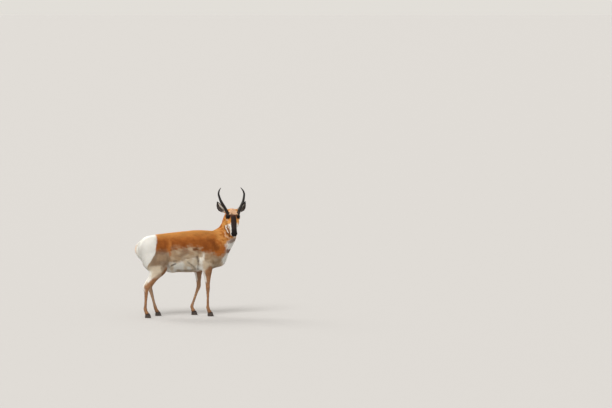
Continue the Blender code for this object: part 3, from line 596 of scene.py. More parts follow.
@dataclass(frozen=True)
class Markings:
    """The coat's colour at any place on the body. Skin and hair both read it.

    Each region gives its own layers of colour and cover, the lowest first.
    """

    body: Body
    colours: CoatColours

    def back(self, at: TrunkPlaces) -> Layers:
        """The tan back and neck, mottled with russet, with painted sunlight in gold on top and on the upper
        neck, and painted shade in the fold before the shoulder.
        """
        c = self.colours
        trunk_only = ramp(0.38, 0.30, at.x)
        upright = ripple(at.points * (1, 1, 0.3), 0.018, 22)
        fold = near_course(np.stack([at.ragged_x, at.ragged_z], 1), NECK_FOLD_SHADE)
        streaks = [
            (colour, cover * band(at.ragged_x, middle, 0.005, 0.010) * band(at.z, 0.750, 0.050, 0.040))
            for middle, colour, cover in THIGH_STREAKS
        ]
        neck_sunlight = ramp(0.30, 0.37, at.x) * ramp(0.72, 0.80, at.z)
        return [
            (c.russet, (0.20 + 0.42 * trunk_only) * ramp(-0.7, 1.5, at.patchy + 0.4 * at.fine)),
            (c.russet, 0.40 * ramp(0.1, 1.2, upright) * trunk_only),
            (c.russet, 0.40 * band(at.ragged_z, 0.765, 0.030, 0.040) * ramp(0.34, 0.26, at.x)),
            *streaks,
            # painted shade: darker russet along the fold between shoulder and neck
            (shade(c.russet, 0.80), 0.55 * ramp(0.030, 0.008, fold)),
            # painted highlight: gold where the surface faces up, and painted sunlight in gold on the upper
            # neck
            (c.gold, 0.60 * ramp(0.25, 0.95, at.normals[:, 2]) * ramp(0.80, 0.86, at.z)),
            (c.gold, 0.80 * neck_sunlight * ramp(-0.9, 0.6, at.fine + at.patchy)),
        ]

    def underside(self, at: TrunkPlaces) -> Layers:
        """The lower flank, beige to grey, and the pale belly with a line of painted shade along its lower
        edge.
        """
        c = self.colours
        beige = laid(even(c.flank, at.x), [
            (c.grey, 0.65 * ramp(-0.5, 1.3, 0.5 * at.fine + at.patchy)),
            (c.cream, 0.35 * ramp(-0.1, 1.2, ripple(at.points, 0.040, 8))),
        ])
        pale = lay(even(c.cream, at.x), c.white, 0.85 * ramp(-0.7, 0.6, ripple(at.points, 0.045, 23)))
        belly = ramp(0.022, -0.024, at.ragged_z + 0.008 * at.fine - np.interp(at.x, *BELLY_EDGE))
        chest = ramp(0.135, 0.190, at.ragged_x)
        rough = at.ragged_z + 0.014 * at.fine + 0.010 * at.patchy
        return [
            (beige, ramp(0.036, -0.034, rough - np.interp(at.x, *TAN_EDGE))),
            (pale, belly * (1 - chest)),
            (c.cream, 0.65 * belly * chest),
            # painted shade: a grey line along the belly's lower edge, where shadow falls
            (c.grey, 0.60 * band(at.x, -0.01, 0.07, 0.05) * band(at.z, 0.486, 0.010, 0.014)),
        ]

    def thigh(self, at: TrunkPlaces) -> Layers:
        """The grey thigh, the fold of the flank and the gaskin's pale front."""
        c = self.colours
        x, z = at.ragged_x, at.ragged_z
        return [
            (c.grey, 0.60 * band(x, -0.300, 0.075, 0.05) * band(z, 0.615, 0.075, 0.05)),
            (c.flank, 0.7 * band(x, -0.285, 0.035, 0.03) * band(z, 0.640, 0.022, 0.02)),
            (c.tan, 0.65 * band(x, -0.180, 0.008, 0.012) * band(at.z, 0.735, 0.070, 0.03)),
            (c.cream, 0.9 * at.pale_gaskin),
        ]

    def shoulder(self, at: TrunkPlaces) -> Layers:
        """The white streak behind the shoulder and the painted shade along the folds."""
        c = self.colours
        straight = np.stack([at.x + 0.25 * at.rag, at.z + 0.25 * at.rag], 1)
        streak = band(at.ragged_x, 0.163 + 0.13 * (at.z - 0.60), 0.007, 0.013)
        streak = streak * band(at.z, 0.595, 0.062, 0.045)
        layers = [(c.white, 0.62 * streak)]
        # painted shade: a dark line along each fold, where shadow falls
        for line in FOLD_SHADE_LINES:
            near = ramp(line.half * 1.7, line.half * 0.3, near_course(straight, np.array(line.course)))
            layers.append((line.colour, line.cover * near))
        spot = band(at.ragged_x, 0.085, 0.018, 0.016) * band(at.ragged_z, 0.722, 0.010, 0.012)
        return layers + [(shade(c.russet, 0.55), 0.75 * spot)]

    def chest(self, at: TrunkPlaces) -> Layers:
        """The white front of neck and chest with its brown bands, grey between the forelegs."""
        c = self.colours
        ahead = at.normals[:, 0]
        edge = np.interp(at.z, *CHEST_EDGE)
        front = ramp(0.36, 0.43, at.ragged_x + 0.03 * ramp(0.66, 0.72, at.z) + 0.04 * np.maximum(ahead, 0))
        front *= ramp(edge, edge + 0.32, ahead + 6 * at.rag) * ramp(0.93, 0.90, at.z)
        bands = [
            (shade(c.russet, 0.75), cover * front * band(at.ragged_z, height, half, 0.010))
            for height, half, cover in CHEST_BANDS
        ]
        brisket = band(at.x, 0.34, 0.09, 0.03) * ramp(0.545, 0.520, at.z) * ramp(0.46, 0.49, at.z)
        return [(c.white, front * ramp(0.520, 0.560, at.z)), *bands, (c.grey, 0.6 * brisket)]

    def legs(self, at: TrunkPlaces) -> Layers:
        """The legs, tan outside and pale inside and behind, darker above the hooves."""
        c = self.colours
        fore = at.x > 0
        ahead = at.normals[:, 0]
        inward = -np.sign(at.y) * at.normals[:, 1]
        top = np.where(fore, np.interp(at.x, *FORE_LEG_TOP), np.interp(at.x, *HIND_LEG_TOP))
        hair = laid(even(c.leg, at.x), [
            (c.leg_dark, 0.45 * ramp(-0.8, 1.4, at.patchy + at.fine)),
            (c.leg_dark, 0.45 * ramp(0.3, 0.8, ahead) * ramp(0.30, 0.20, at.z)),
            (c.cream, np.where(fore, 0.12, 0.25) * ramp(0.35, 0.75, inward) * ramp(0.06, 0.14, at.z)),
        ])
        between = ramp(0.070, 0.050, np.abs(at.y)) * ramp(-0.26, -0.30, at.x) * ramp(0.58, 0.54, at.z)
        behind = np.where(fore, band(at.z, 0.455, 0.070, 0.04), band(at.z, 0.415, 0.105, 0.05))
        behind = behind * ramp(-0.30, -0.65, ahead) * ramp(0.60, 0.56, at.z)
        return [
            (hair, ramp(0.022, -0.022, at.ragged_z - top) * (1 - 0.4 * at.pale_gaskin)),
            (c.white, 0.85 * between),
            (c.white, 0.9 * behind),
            (c.black, 0.55 * ramp(0.055, 0.036, at.z)),
        ]

    def rump(self, at: TrunkPlaces) -> Layers:
        """The white rump, its edge down the back of the thigh and the golden line on the tail."""
        begins = at.x + 0.45 * at.rag - np.interp(at.z, *RUMP_EDGE)
        dock = band(at.y, 0, 0.006, 0.008) * ramp(-0.505, -0.525, at.x) * band(at.z, 0.750, 0.045, 0.03)
        return [
            (self.colours.white, ramp(0.007, -0.007, begins) * ramp(0.505, 0.545, at.ragged_z)),
            (self.colours.gold, 0.55 * dock),
        ]

    def cheeks(self, at: FacePlaces) -> Layers:
        """The golden cheeks, white below with a brown stripe of painted shade along the jaw's edge, and the
        black patch behind the jaw.
        """
        c = self.colours
        down, crown, aside = at.down, at.crown, at.aside
        poll = ramp(0.014, 0.000, down) * ramp(0.034, 0.048, crown) * ramp(-0.110, -0.080, down)
        jaw_shade = near_course(at.around[:, :2], JAW_EDGE_SHADE)
        under_eye = near_course(at.around[:, :2], UNDER_EYE)
        jaw = np.stack([(down - 0.004) * 0.75, crown + 0.078, (aside - 0.045) * 0.7], 1)
        return [
            (c.gold, 0.55 * ramp(-0.01, 0.03, down)),
            (c.buff, poll * ramp(0.050, 0.036, aside)),
            (c.white, ramp(-0.012, 0.014, down - (0.086 - 0.10 * (crown - 0.010) + at.loose))),
            # painted shade: a brown stripe along the jaw's edge
            (shade(c.russet, 0.60), 0.70 * ramp(0.0070, 0.0015, jaw_shade) * ramp(0.014, 0.022, aside)),
            (c.white, 0.85 * ramp(0.0075, 0.0035, under_eye) * ramp(0.026, 0.034, aside)),
            (c.black, 0.92 * ramp(0.026, 0.018, np.linalg.norm(jaw, axis=1))),
        ]

    def blaze(self, at: FacePlaces) -> Layers:
        """The black blaze, rusty below the crown and, with painted shade, towards the eye, the nose and the
        eyes' dark skin.
        """
        c = self.colours
        down, crown, aside, loose_down = at.down, at.crown, at.aside, at.down + at.loose
        true_down = at.points[:, 0]
        rust_and_shade = np.linalg.norm(at.around - RUST_AND_SHADE_BRIDGE, axis=1)
        below_crown = ramp(-0.008, 0.004, down) * ramp(0.034, 0.018, down) * ramp(0.046, 0.032, aside)
        brow = ramp(-0.010, 0.000, loose_down) * ramp(0.018, 0.006, loose_down) * ramp(0.052, 0.042, aside)
        above = ramp(0.030, 0.040, crown)
        width = ramp(0.0045, -0.0035, aside - np.interp(true_down, *BLAZE_HALF))
        above_lip = crown + 0.032 - 0.014 * ramp(0.014, 0.032, aside)
        nose = ramp(0.172, 0.184, down) * ramp(-0.006, 0.004, above_lip)
        return [
            # rust between eye and blaze: partly the coat's own colour, partly painted shade, laid on both
            # sides
            (c.rust, 0.60 * ramp(0.024, 0.010, rust_and_shade)),
            (c.rust, below_crown * above),
            (c.blaze, 0.75 * brow * above),
            (lay(even(c.blaze, down), c.black, ramp(0.13, 0.18, true_down)),
             width * ramp(0.004, 0.022, loose_down) * ramp(-0.020, -0.010, crown)),
            (c.black, nose),
            (c.black, ramp(0.0275, 0.0205, near_course(at.around, EYE_PATCH) + 0.4 * at.loose)),
            (c.black, 0.95 * ramp(0.016, 0.009, near_course(at.around, EYE_TO_HORN))),
        ]

    def lips(self, at: FacePlaces) -> Layers:
        """The white upper lip, the pale chin with painted shade on its underside, and the black line of the
        mouth.
        """
        c = self.colours
        down = at.down
        over = at.crown - np.interp(down, MOUTH[:, 0], MOUTH[:, 1])
        lip = ramp(0.135, 0.150, down) * band(over, 0.0050, 0.0035, 0.0030) * ramp(0.214, 0.207, down)
        chin_shade = 0.8 * ramp(0.180, 0.198, down) * ramp(-0.001, -0.006, over) * ramp(0.024, 0.014, at.aside)
        return [
            (c.white, lip),
            (c.cream, ramp(0.140, 0.165, down) * ramp(-0.001, -0.004, over)),
            # painted shade: grey under the chin
            (c.grey, chin_shade),
            (c.black, ramp(0.0024, 0.0010, near_course(at.points[:, :2], MOUTH))),
        ]

    def throat(self, place: Array, face: Array, forward: Array) -> Layers:
        """The bands of the upper throat, from the outermost to the one by the jaw.

        Args:
            place: places from the middle of the trunk.
            face: the same places in the head's own directions.
            forward: how far the surface faces the way the head looks, -1 to 1.

        Returns:
            The layers.
        """
        rag = 0.0024 * ripple(place, 0.020, 17) + 0.0010 * ripple(place, 0.007, 20)
        seen = np.stack([np.abs(face[:, 2]) + rag, place[:, 2] - rag], 1)
        behind_jaw = ramp(-0.048, -0.058, face[:, 1]) * ramp(-0.1, 0.3, forward)
        layers = []
        for line in THROAT_BANDS:
            near = ramp(line.half + 0.0032, line.half - 0.0030, near_course(seen, np.array(line.course)))
            layers.append((line.colour, line.cover * near * behind_jaw))
        return layers

    def ear(self, points: Array, normals: Array, side: Side) -> Array:
        """The colours of one ear: pale hair in the cup, a dark rim and a black tip.

        Args:
            points: places in the frame.
            normals: the way the surface faces there.
            side: which ear.

        Returns:
            One colour a place.
        """
        c = self.colours
        share, edge, _ = self.body.in_ear(points, side)
        inside = ramp(0.0, 0.35, normals @ self.body.ear_axes(side)[3])
        across = edge / np.interp(share, *EAR_HALF) + 0.06 * ripple(points, 0.012, 15)
        return laid(even(c.ear, share), [
            (c.ear_hair, inside * (1 - 0.35 * ramp(0.3, 0.9, ripple(points, 0.015, 16)))),
            (c.blaze, 0.9 * ramp(0.70, 0.90, np.abs(across)) * ramp(0.15, 0.45, share)),
            (c.blaze, 0.92 * ramp(-0.30, 0.05, across) * ramp(0.05, 0.25, share)),
            (c.black, ramp(0.78, 0.92, share + 0.03 * across)),
        ])

    def at(self, points: Array, normals: Array, head: Array, ears: dict[Side, Array]) -> Array:
        """The colours at places in the frame.

        Args:
            points: the places.
            normals: the way the surface faces there.
            head: how far each place belongs to the head, 0 to 1.
            ears: the same for each ear.

        Returns:
            One colour a place.
        """
        place, face = self.body.in_body(points), self.body.in_head(points)
        trunk, head_on = TrunkPlaces(place, normals), FacePlaces(face)
        coat = even(self.colours.tan, head)
        trunk_regions = (
            self.back, self.underside, self.thigh, self.shoulder, self.chest, self.legs, self.rump,
        )
        for region in trunk_regions:
            coat = laid(coat, region(trunk))
        dressed = coat
        for region in (self.cheeks, self.blaze, self.lips):
            dressed = laid(dressed, region(head_on))
        coat = lay(coat, dressed, head)
        coat = laid(coat, self.throat(place, face, normals @ np.array(self.body.ahead)))
        for side, cover in ears.items():
            coat = lay(coat, self.ear(points, normals, side), cover)
        return coat


# Finishes
@dataclass(frozen=True)
class Finish:
    """A material whose colour comes from the piece's own 'coat' attribute."""

    name: str
    roughness: float
    grain: float
    bump: float
    variation: float = 0.15
    stretch: tuple[float, float, float] = (1.0, 1.0, 1.0)
    specular: float = 0.5

    def made(self) -> Material:
        """The finished material: colour with fine variation, uneven gloss and a bump of the grain."""
        made = bpy.data.materials.new(self.name)
        made.use_nodes = True
        nodes, join = made.node_tree.nodes, made.node_tree.links.new
        shader = nodes["Principled BSDF"]
        shader.inputs["Specular IOR Level"].default_value = self.specular

        def node(kind: str, values: dict[str, float | Sequence[float]]) -> bpy.types.Node:
            """A new node with these values in its sockets."""
            added = nodes.new(f"ShaderNode{kind}")
            for socket, value in values.items():
                added.inputs[socket].default_value = value
            return added

        colour = node("Attribute", {})
        colour.attribute_name = PAINT
        turned = node("Mapping", {"Scale": self.stretch})
        join(node("TexCoord", {}).outputs["Object"], turned.inputs["Vector"])
        noise = node("TexNoise", {"Scale": 1 / self.grain, "Detail": 5.0})
        join(turned.outputs["Vector"], noise.inputs["Vector"])

        low, high = 1 - self.variation, 1 + self.variation
        tone = node("MapRange", {"From Min": 0.3, "From Max": 0.7, "To Min": low, "To Max": high})
        join(noise.outputs["Fac"], tone.inputs["Value"])
        tinted = node("VectorMath", {})
        tinted.operation = "SCALE"
        join(colour.outputs["Color"], tinted.inputs[0])
        join(tone.outputs["Result"], tinted.inputs["Scale"])
        join(tinted.outputs["Vector"], shader.inputs["Base Color"])

        low, high = max(self.roughness - 0.06, 0.02), min(self.roughness + 0.06, 1.0)
        gloss = node("MapRange", {"To Min": low, "To Max": high})
        join(noise.outputs["Fac"], gloss.inputs["Value"])
        join(gloss.outputs["Result"], shader.inputs["Roughness"])
        if self.bump:
            bump = node("Bump", {"Strength": 0.6, "Distance": self.bump})
            join(noise.outputs["Fac"], bump.inputs["Height"])
            join(bump.outputs["Normal"], shader.inputs["Normal"])
        return made


HAIR = Finish("hair", roughness=0.80, grain=0.006, bump=0.0, variation=0.10, specular=0.12)
HIDE = Finish("hide", roughness=0.80, grain=0.0030, bump=0.0008, variation=0.16, stretch=(1, 1, 0.35),
              specular=0.2)
HORN = Finish("horn", roughness=0.40, grain=0.004, bump=0.0009, variation=0.25, stretch=(1, 1, 0.16),
              specular=0.16)
HOOF = Finish("hoof", roughness=0.50, grain=0.003, bump=0.0004, variation=0.25, stretch=(0.4, 0.4, 2.0))
EYE = Finish("eye", roughness=0.05, grain=0.002, bump=0.0, variation=0.10, specular=0.15)


# The skin
# Painted shade and light: the skin is painted darker than the hair over it, as it lies in the hair's shade,
# and a tuft is painted darker at its root and lighter at its tip than at its middle
SKIN_SHADE, ROOT_SHADE, TIP_LIGHT = 0.94, 0.92, 1.05


@dataclass(frozen=True)
class Crease:
    """A fold of the skin, drawn on both sides of the trunk as seen from the side."""

    course: tuple[tuple[float, float], ...]
    depth: float
    width: float


CREASES = (
    Crease(((0.118, 0.655), (0.112, 0.600), (0.116, 0.525)), 0.007, 0.014),
    Crease(((0.010, 0.592), (0.050, 0.552), (0.095, 0.500)), 0.003, 0.009),
    Crease(((-0.190, 0.700), (-0.186, 0.610), (-0.205, 0.540)), 0.005, 0.016),
    Crease(((-0.175, 0.540), (-0.150, 0.556), (-0.135, 0.566)), 0.004, 0.008),
    Crease(((0.300, 0.700), (0.275, 0.620), (0.290, 0.545)), 0.004, 0.020),
    Crease(((0.170, 0.860), (0.130, 0.780), (0.125, 0.700)), 0.003, 0.020),
)


@dataclass
class Skin:
    """One surface for all the flesh, sunk below the solids by the depth of the coat."""

    body: Body
    markings: Markings
    trunk_square: float = 0.0092
    head_square: float = 0.0025
    leg_square: float = 0.0032
    ear_square: float = 0.0024
    swell: float = 0.0010
    trunk_coat: float = 0.0044
    rump_coat_more: float = 0.0012
    short_coat: float = 0.0022
    hoof_coat: float = -0.0006
    crown_coat_more: float = 0.0075

    def flesh_names(self) -> list[str]:
        """The nodes of flesh, apart from the ears."""
        names = ["head", "neck", "shoulders", "barrel", "rump", "tail"]
        for limb in Limb:
            upper = "gaskin" if limb.value.startswith("hind") else "forearm"
            names += [f"leg_{limb.value}_{upper}", f"leg_{limb.value}_cannon"]
        return names

    def head_share(self, points: Array) -> Array:
        """How far each place belongs to the head, 0 to 1."""
        build = self.body.build
        past = self.body.past_cut(points, build.head_cut, build.head_cut_faces)
        near = np.linalg.norm(points - np.array(self.body.on_head(0.02, -0.02)), axis=1)
        return ramp(-0.004, 0.012, past) * ramp(0.27, 0.25, near)

    def short_share(self, points: Array) -> Array:
        """How far each place carries hair as short as the head's, 0 to 1: the upper neck shades into it."""
        build = self.body.build
        past = self.body.past_cut(points, build.head_cut, build.head_cut_faces)
        x, _, z = self.body.in_body(points).T
        upper = ramp(0.28, 0.34, x) * ramp(0.78, 0.84, z)
        return np.maximum(self.head_share(points), ramp(-0.095, 0.004, past) * upper)

    def coat_depth(self, points: Array) -> Array:
        """How deep the skin lies below the solids."""
        x, _, z = self.body.in_body(points).T
        depth = self.trunk_coat + self.rump_coat_more * ramp(-0.28, -0.36, x) * ramp(0.50, 0.58, z)
        depth = towards(depth, self.short_coat, ramp(0.500, 0.400, z))
        depth = towards(depth, self.hoof_coat, ramp(0.080, 0.052, z))
        depth = towards(depth, self.short_coat, self.short_share(points)) + self.swell
        down, crown, aside = self.body.in_head(points).T
        poll = ramp(0.045, 0.070, crown) * ramp(0.02, -0.02, down) * ramp(0.046, 0.030, np.abs(aside))
        return depth + self.crown_coat_more * poll * self.head_share(points)

    def on_face(self, points: Array) -> Array:
        """Whether each place is on the head below the crown."""
        return (self.head_share(points) > 0.3) & (self.body.in_head(points)[:, 0] > -0.055)

    def leg_share(self, points: Array) -> Array:
        """How far each place belongs to the lower legs, 0 to 1."""
        return ramp(0.43, 0.38, self.body.in_body(points)[:, 2])

    def build(self) -> Thing:
        """Makes the whole skin, from the rough surface to the lids, and paints it."""
        eyes = [f"eye_{side.word}" for side in Side]
        rough = object_of("skin", copies_of(self.flesh_names() + eyes, self.swell))
        skin = remeshed(rough, self.trunk_square)
        self.soften(skin)
        self.sink(skin)
        self.refine(skin, lambda points: self.head_share(points) > 0.02)
        self.refine(skin, self.on_face)
        self.refine(skin, lambda points: self.body.in_body(points)[:, 2] < 0.46)
        head = ["head", "neck"] + eyes
        self.follow(skin, head, self.head_square, 9, lambda points: ramp(0.02, 0.9, self.head_share(points)))
        legs = [name for name in self.flesh_names() if name.startswith("leg")]
        self.follow(skin, legs, self.leg_square, 4, self.leg_share)
        self.refine(skin, self.near_features)
        self.shape_features(skin)
        self.add_ears(skin)
        self.paint(skin)
        ears = [f"ear_{side.word}" for side in Side]
        return ride(skin, HIDE.made(), "coat_tan", *self.flesh_names(), *ears)

    def soften(self, skin: Thing) -> None:
        """Smooths away the facets and the solids' locks, gently where the limbs are thin."""
        mesh = skin.data
        points = points_of(mesh)
        place = self.body.in_body(points)
        strength = 0.12 + 0.45 * ramp(0.44, 0.56, place[:, 2])
        strength = towards(strength, 0.15, self.head_share(points))
        put_points(mesh, relax(points, edges_of(mesh), 17, strength))

    def sink(self, skin: Thing) -> None:
        """Moves the surface in by the coat's depth and presses the body's creases into it."""
        mesh = skin.data
        points, normals = points_of(mesh), normals_of(mesh)
        depth = self.coat_depth(points)
        place = self.body.in_body(points)
        on_flank = ramp(0.03, 0.06, np.abs(place[:, 1]))
        for crease in CREASES:
            far = near_course(place[:, [0, 2]], np.array(crease.course))
            depth += crease.depth * bell(far, crease.width) * on_flank
        off_head = 1 - self.head_share(points)
        depth += 0.0008 * ripple(place, 0.035, 21) * ramp(0.46, 0.55, place[:, 2]) * off_head
        sunk = points - normals * depth[:, None]
        put_points(mesh, relax(sunk, edges_of(mesh), 3, np.full(len(sunk), 0.3)))

    def refine(self, skin: Thing, wanted: Callable[[Array], Array]) -> None:
        """Cuts the faces in a region into smaller ones."""
        bm = bmesh.new()
        bm.from_mesh(skin.data)
        chosen = wanted(np.array([face.calc_center_median() for face in bm.faces]))
        edges = {edge for face, want in zip(bm.faces, chosen) if want for edge in face.edges}
        edges = sorted(edges, key=lambda edge: edge.index)
        bmesh.ops.subdivide_edges(bm, edges=edges, cuts=1, use_grid_fill=True)
        bmesh.ops.triangulate(bm, faces=[face for face in bm.faces if len(face.verts) > 4])
        bm.to_mesh(skin.data)
        bm.free()

    def follow(self, skin: Thing, names: list[str], square: float, rounds: int,
               share_of: Callable[[Array], Array]) -> None:
        """Lays a refined part of the skin over the true form of its solids.

        Args:
            skin: the skin.
            names: the nodes that give the form.
            square: the size of the form's squares.
            rounds: how often the form is smoothed.
            share_of: how far each place follows the form, 0 to 1.
        """
        form = remeshed(object_of("form", copies_of(names, self.swell)), square)
        mesh = form.data
        put_points(mesh, smoothed(mesh, rounds, 0.5))
        tree = BVHTree.FromObject(form, bpy.context.evaluated_depsgraph_get())
        bpy.data.objects.remove(form)

        mesh = skin.data
        points = points_of(mesh)
        share = share_of(points)
        depth = self.coat_depth(points)
        for i in np.nonzero(share > 0)[0]:
            place, normal, _, _ = tree.find_nearest(Vector(points[i]))
            target = np.array(place - normal * depth[i])
            points[i] = towards(points[i], target, share[i])
        put_points(mesh, relax(points, edges_of(mesh), 4, 0.5 * (share > 0)))

    def near_features(self, points: Array) -> Array:
        """Whether each place is close to an eye, a nostril or the mouth."""
        place = self.body.in_head(points)
        near = self.head_share(points) > 0.5
        close = near_course(place[:, :2], MOUTH) < 0.0065
        for side in Side:
            close |= near_course(place, mirrored(NOSTRIL, side)) < 0.011
            close |= self.body.round_eye(points, side)[0] < 0.033
        return near & close

    def shape_features(self, skin: Thing) -> None:
        """Opens the lids and the nostrils, draws the mouth and raises lips and brows."""
        mesh = skin.data
        points, normals = points_of(mesh), normals_of(mesh)
        place = self.body.in_head(points)
        share = self.head_share(points)
        move = np.zeros(len(points))
        far = near_course(place[:, :2], MOUTH)
        move -= 0.0026 * bell(far, 0.0014) * share
        move += 0.0012 * bell(far - 0.0055, 0.0030) * share
        for side in Side:
            far = near_course(place, mirrored(NOSTRIL, side))
            move -= 0.0085 * ramp(0.0050, 0.0010, far) * share
            move += 0.0014 * bell(far - 0.0068, 0.0022) * share
            for course, depth, width in ((TEAR_LINE, 0.0016, 0.0050), (CHEEKBONE, 0.0014, 0.0080)):
                move -= depth * bell(near_course(place, mirrored(course, side)), width) * share
            move += self.brow(points, side) * share
        points += normals * move[:, None]
        for side in Side:
            points = self.lids(points, side)
        put_points(mesh, points)

    def brow(self, points: Array, side: Side) -> Array:
        """How far the bony rim over one eye stands out at each place."""
        out, corner, up = self.body.eye_axes(side)
        middle = self.body.eye[side] + out * 0.012
        turns = np.radians(np.linspace(10, 170, 9))
        rim = [middle + (corner * math.cos(turn) * 0.027 + up * math.sin(turn) * 0.025) for turn in turns]
        return 0.0042 * bell(near_course(points, np.array(rim)), 0.0085)

    def lids(self, points: Array, side: Side) -> Array:
        """Lays the skin round one eyeball: behind it in the opening, over it as two rolled lids."""
        build = self.body.build
        centre = self.body.eye[side]
        out, corner, up = self.body.eye_axes(side)
        way = points - centre
        reach = np.linalg.norm(way, axis=1)
        long, high, forward = way @ corner, way @ up, way @ out
        pinch = 1 - 0.36 * np.abs(long) / np.maximum(np.hypot(long, high), 1e-6)
        ring = np.hypot(long / build.lid_half_long, high / (build.lid_half_high * pinch))
        upper = ramp(-0.002, 0.006, high)
        target = np.interp(ring, LID_RINGS[0], np.array(LID_RINGS[1]) / 1000) + build.eye_radius
        target += upper * 0.0010 * bell(ring - 1.16, 0.10)
        target += upper * 0.0012 * bell(ring - 1.55, 0.14)
        hold = ramp(1.95, 1.45, ring) * ramp(0.0, 0.004, forward) * (reach < 0.045)
        return centre + way * (towards(reach, target, hold) / np.maximum(reach, 1e-6))[:, None]

    def add_ears(self, skin: Thing) -> None:
        """Grows the ears from the head and blends their roots into it."""
        ears = bpy.data.collections.new("ears")
        bpy.context.scene.collection.children.link(ears)
        for side in Side:
            ear = remeshed(object_of("ear", copies_of([f"ear_{side.word}"])), self.ear_square)
            mesh = ear.data
            points = smoothed(mesh, 4, 0.4)
            put_points(mesh, points)
            share = self.body.in_ear(points, side)[0]
            along = self.body.ear_axes(side)[1]
            inward = -along * 0.7 - np.array(self.body.left) * side.value * 0.7
            points = points - normals_of(mesh) * (0.0006 * ramp(0.1, 0.3, share))[:, None]
            points += inward * (0.012 * ramp(0.20, 0.0, share))[:, None]
            put_points(mesh, points)
            bpy.context.scene.collection.objects.unlink(ear)
            ears.objects.link(ear)
        union = skin.modifiers.new("ears", "BOOLEAN")
        union.operation = "UNION"
        union.operand_type = "COLLECTION"
        union.collection = ears
        union.solver = "MANIFOLD"
        settled(skin)
        for ear in list(ears.objects):
            bpy.data.objects.remove(ear)
        bpy.data.collections.remove(ears)
        mesh = skin.data
        points = points_of(mesh)
        strength = np.zeros(len(points))
        for side in Side:
            root = self.body.ear_axes(side)[0]
            share = self.body.in_ear(points, side)[0]
            near = ramp(0.040, 0.028, np.linalg.norm(points - root, axis=1)) * ramp(0.26, 0.14, share)
            strength = np.maximum(strength, 0.5 * near * ramp(-0.14, -0.04, share))
        put_points(mesh, relax(points, edges_of(mesh), 8, strength))

    def ear_shares(self, points: Array) -> dict[Side, Array]:
        """How far each place belongs to each ear, 0 to 1."""
        shares = {}
        for side in Side:
            share, edge, cup = self.body.in_ear(points, side)
            inside = ramp(0.060, 0.050, np.abs(edge)) * ramp(0.050, 0.040, np.abs(cup)) * (share < 1.2)
            shares[side] = ramp(0.03, 0.10, share) * inside
        return shares

    def paint(self, skin: Thing) -> None:
        """Gives the skin the coat's markings, darkened as painted shade, as it lies below the hair."""
        mesh = skin.data
        points, normals = points_of(mesh), normals_of(mesh)
        colours = self.markings.at(points, normals, self.head_share(points), self.ear_shares(points))
        # painted shade: the skin darker than the hair over it
        colours = colours * SKIN_SHADE
        for side in Side:
            far, forward = self.body.round_eye(points, side)
            bare = ramp(0.0275, 0.0255, far) * ramp(0.003, 0.008, forward)
            colours = lay(colours, shade(self.markings.colours.black, 0.6), bare)
        paint(mesh, colours)


# Horns, hooves and eyes
@dataclass
class Horn:
    """One black horn, ridged and knobbed at the base and smooth at its hooked tip."""

    body: Body
    side: Side
    square: float = 0.0016

    def build(self) -> Thing:
        """Makes the horn over its solid."""
        name = f"horn_{self.side.word}"
        horn = remeshed(object_of(f"horn_sheath_{self.side.word}", copies_of([name])), self.square)
        mesh = horn.data
        put_points(mesh, smoothed(mesh, 5, 0.4))
        points, normals = points_of(mesh), normals_of(mesh)
        low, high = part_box(name)
        share = (points[:, 2] - low.z) / (high.z - low.z)
        # the sheath is rough with lengthwise ridges and knobs low down
        rough = ramp(0.62, 0.20, share)
        stretched = points * (1, 1, 0.22)
        ridges = -np.abs(ripple(stretched, 0.0042, 31)) * 0.0011
        knobs = np.maximum(ripple(points, 0.007, 32), 0) ** 2 * 0.0012 * ramp(0.30, 0.04, share)
        rings = 0.0005 * np.sin(points[:, 2] * 2 * math.pi / 0.011 + ripple(points, 0.03, 33))
        rings = rings * ramp(0.55, 0.3, share)
        points += normals * ((ridges + rings) * rough + knobs)[:, None]
        inward = self.body.head - Vector(points[share.argmin()])
        points += np.array(inward.normalized()) * (0.011 * ramp(0.085, 0.0, share))[:, None]
        put_points(mesh, points)

        worn = ramp(0.0, 1.2, ripple(stretched, 0.010, 34)) * rough
        paint(mesh, laid(even(srgb(25, 21, 19), share), [
            (srgb(76, 64, 56), 0.40 * worn),
            (srgb(17, 14, 13), ramp(0.40, 0.70, share)),
        ]))
        return ride(horn, HORN.made(), "horn", name)


@dataclass
class Hooves:
    """The eight toes, each pointed, rounded and marked by growth rings."""

    body: Body
    square: float = 0.0016

    def toe(self, name: str) -> Thing:
        """Makes one toe over its solid."""
        toe = remeshed(object_of(f"toe_{name.removeprefix('hoof_')}", copies_of([name])), self.square)
        mesh = toe.data
        low, high = (np.array(corner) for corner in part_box(name))
        points = smoothed(mesh, 9, 0.5)
        drawn_in = (points - points.min(axis=0)) / np.ptp(points, axis=0)
        put_points(mesh, low + drawn_in * (high - low))
        points, normals = points_of(mesh), normals_of(mesh)
        upright = 1 - np.abs(normals[:, 2])
        height = points[:, 2] - 0.30 * (points[:, 0] - low[0])
        rings = np.sin(height * 2 * math.pi / 0.0040 + 0.8 * ripple(points, 0.012, 42))
        points += normals * ((0.00022 * rings - 0.0004) * upright)[:, None]
        points = np.clip(points, low, high)
        put_points(mesh, points)
        worn = ramp(-0.2, 1.2, ripple(points * (0.6, 0.6, 3), 0.010, 41))
        paint(mesh, laid(even(srgb(52, 43, 38), points), [
            (srgb(98, 84, 72), 0.45 * worn),
            (srgb(124, 108, 92), 0.6 * ramp(0.005, 0.0, points[:, 2])),
            (srgb(34, 28, 25), 0.6 * ramp(0.018, 0.030, height)),
        ]))
        return toe

    def build(self) -> None:
        """Makes all the toes."""
        finish = HOOF.made()
        for limb in Limb:
            for side in Side:
                name = f"hoof_{limb.value}_{side.word}_toe"
                ride(self.toe(name), finish, "hoof", name)


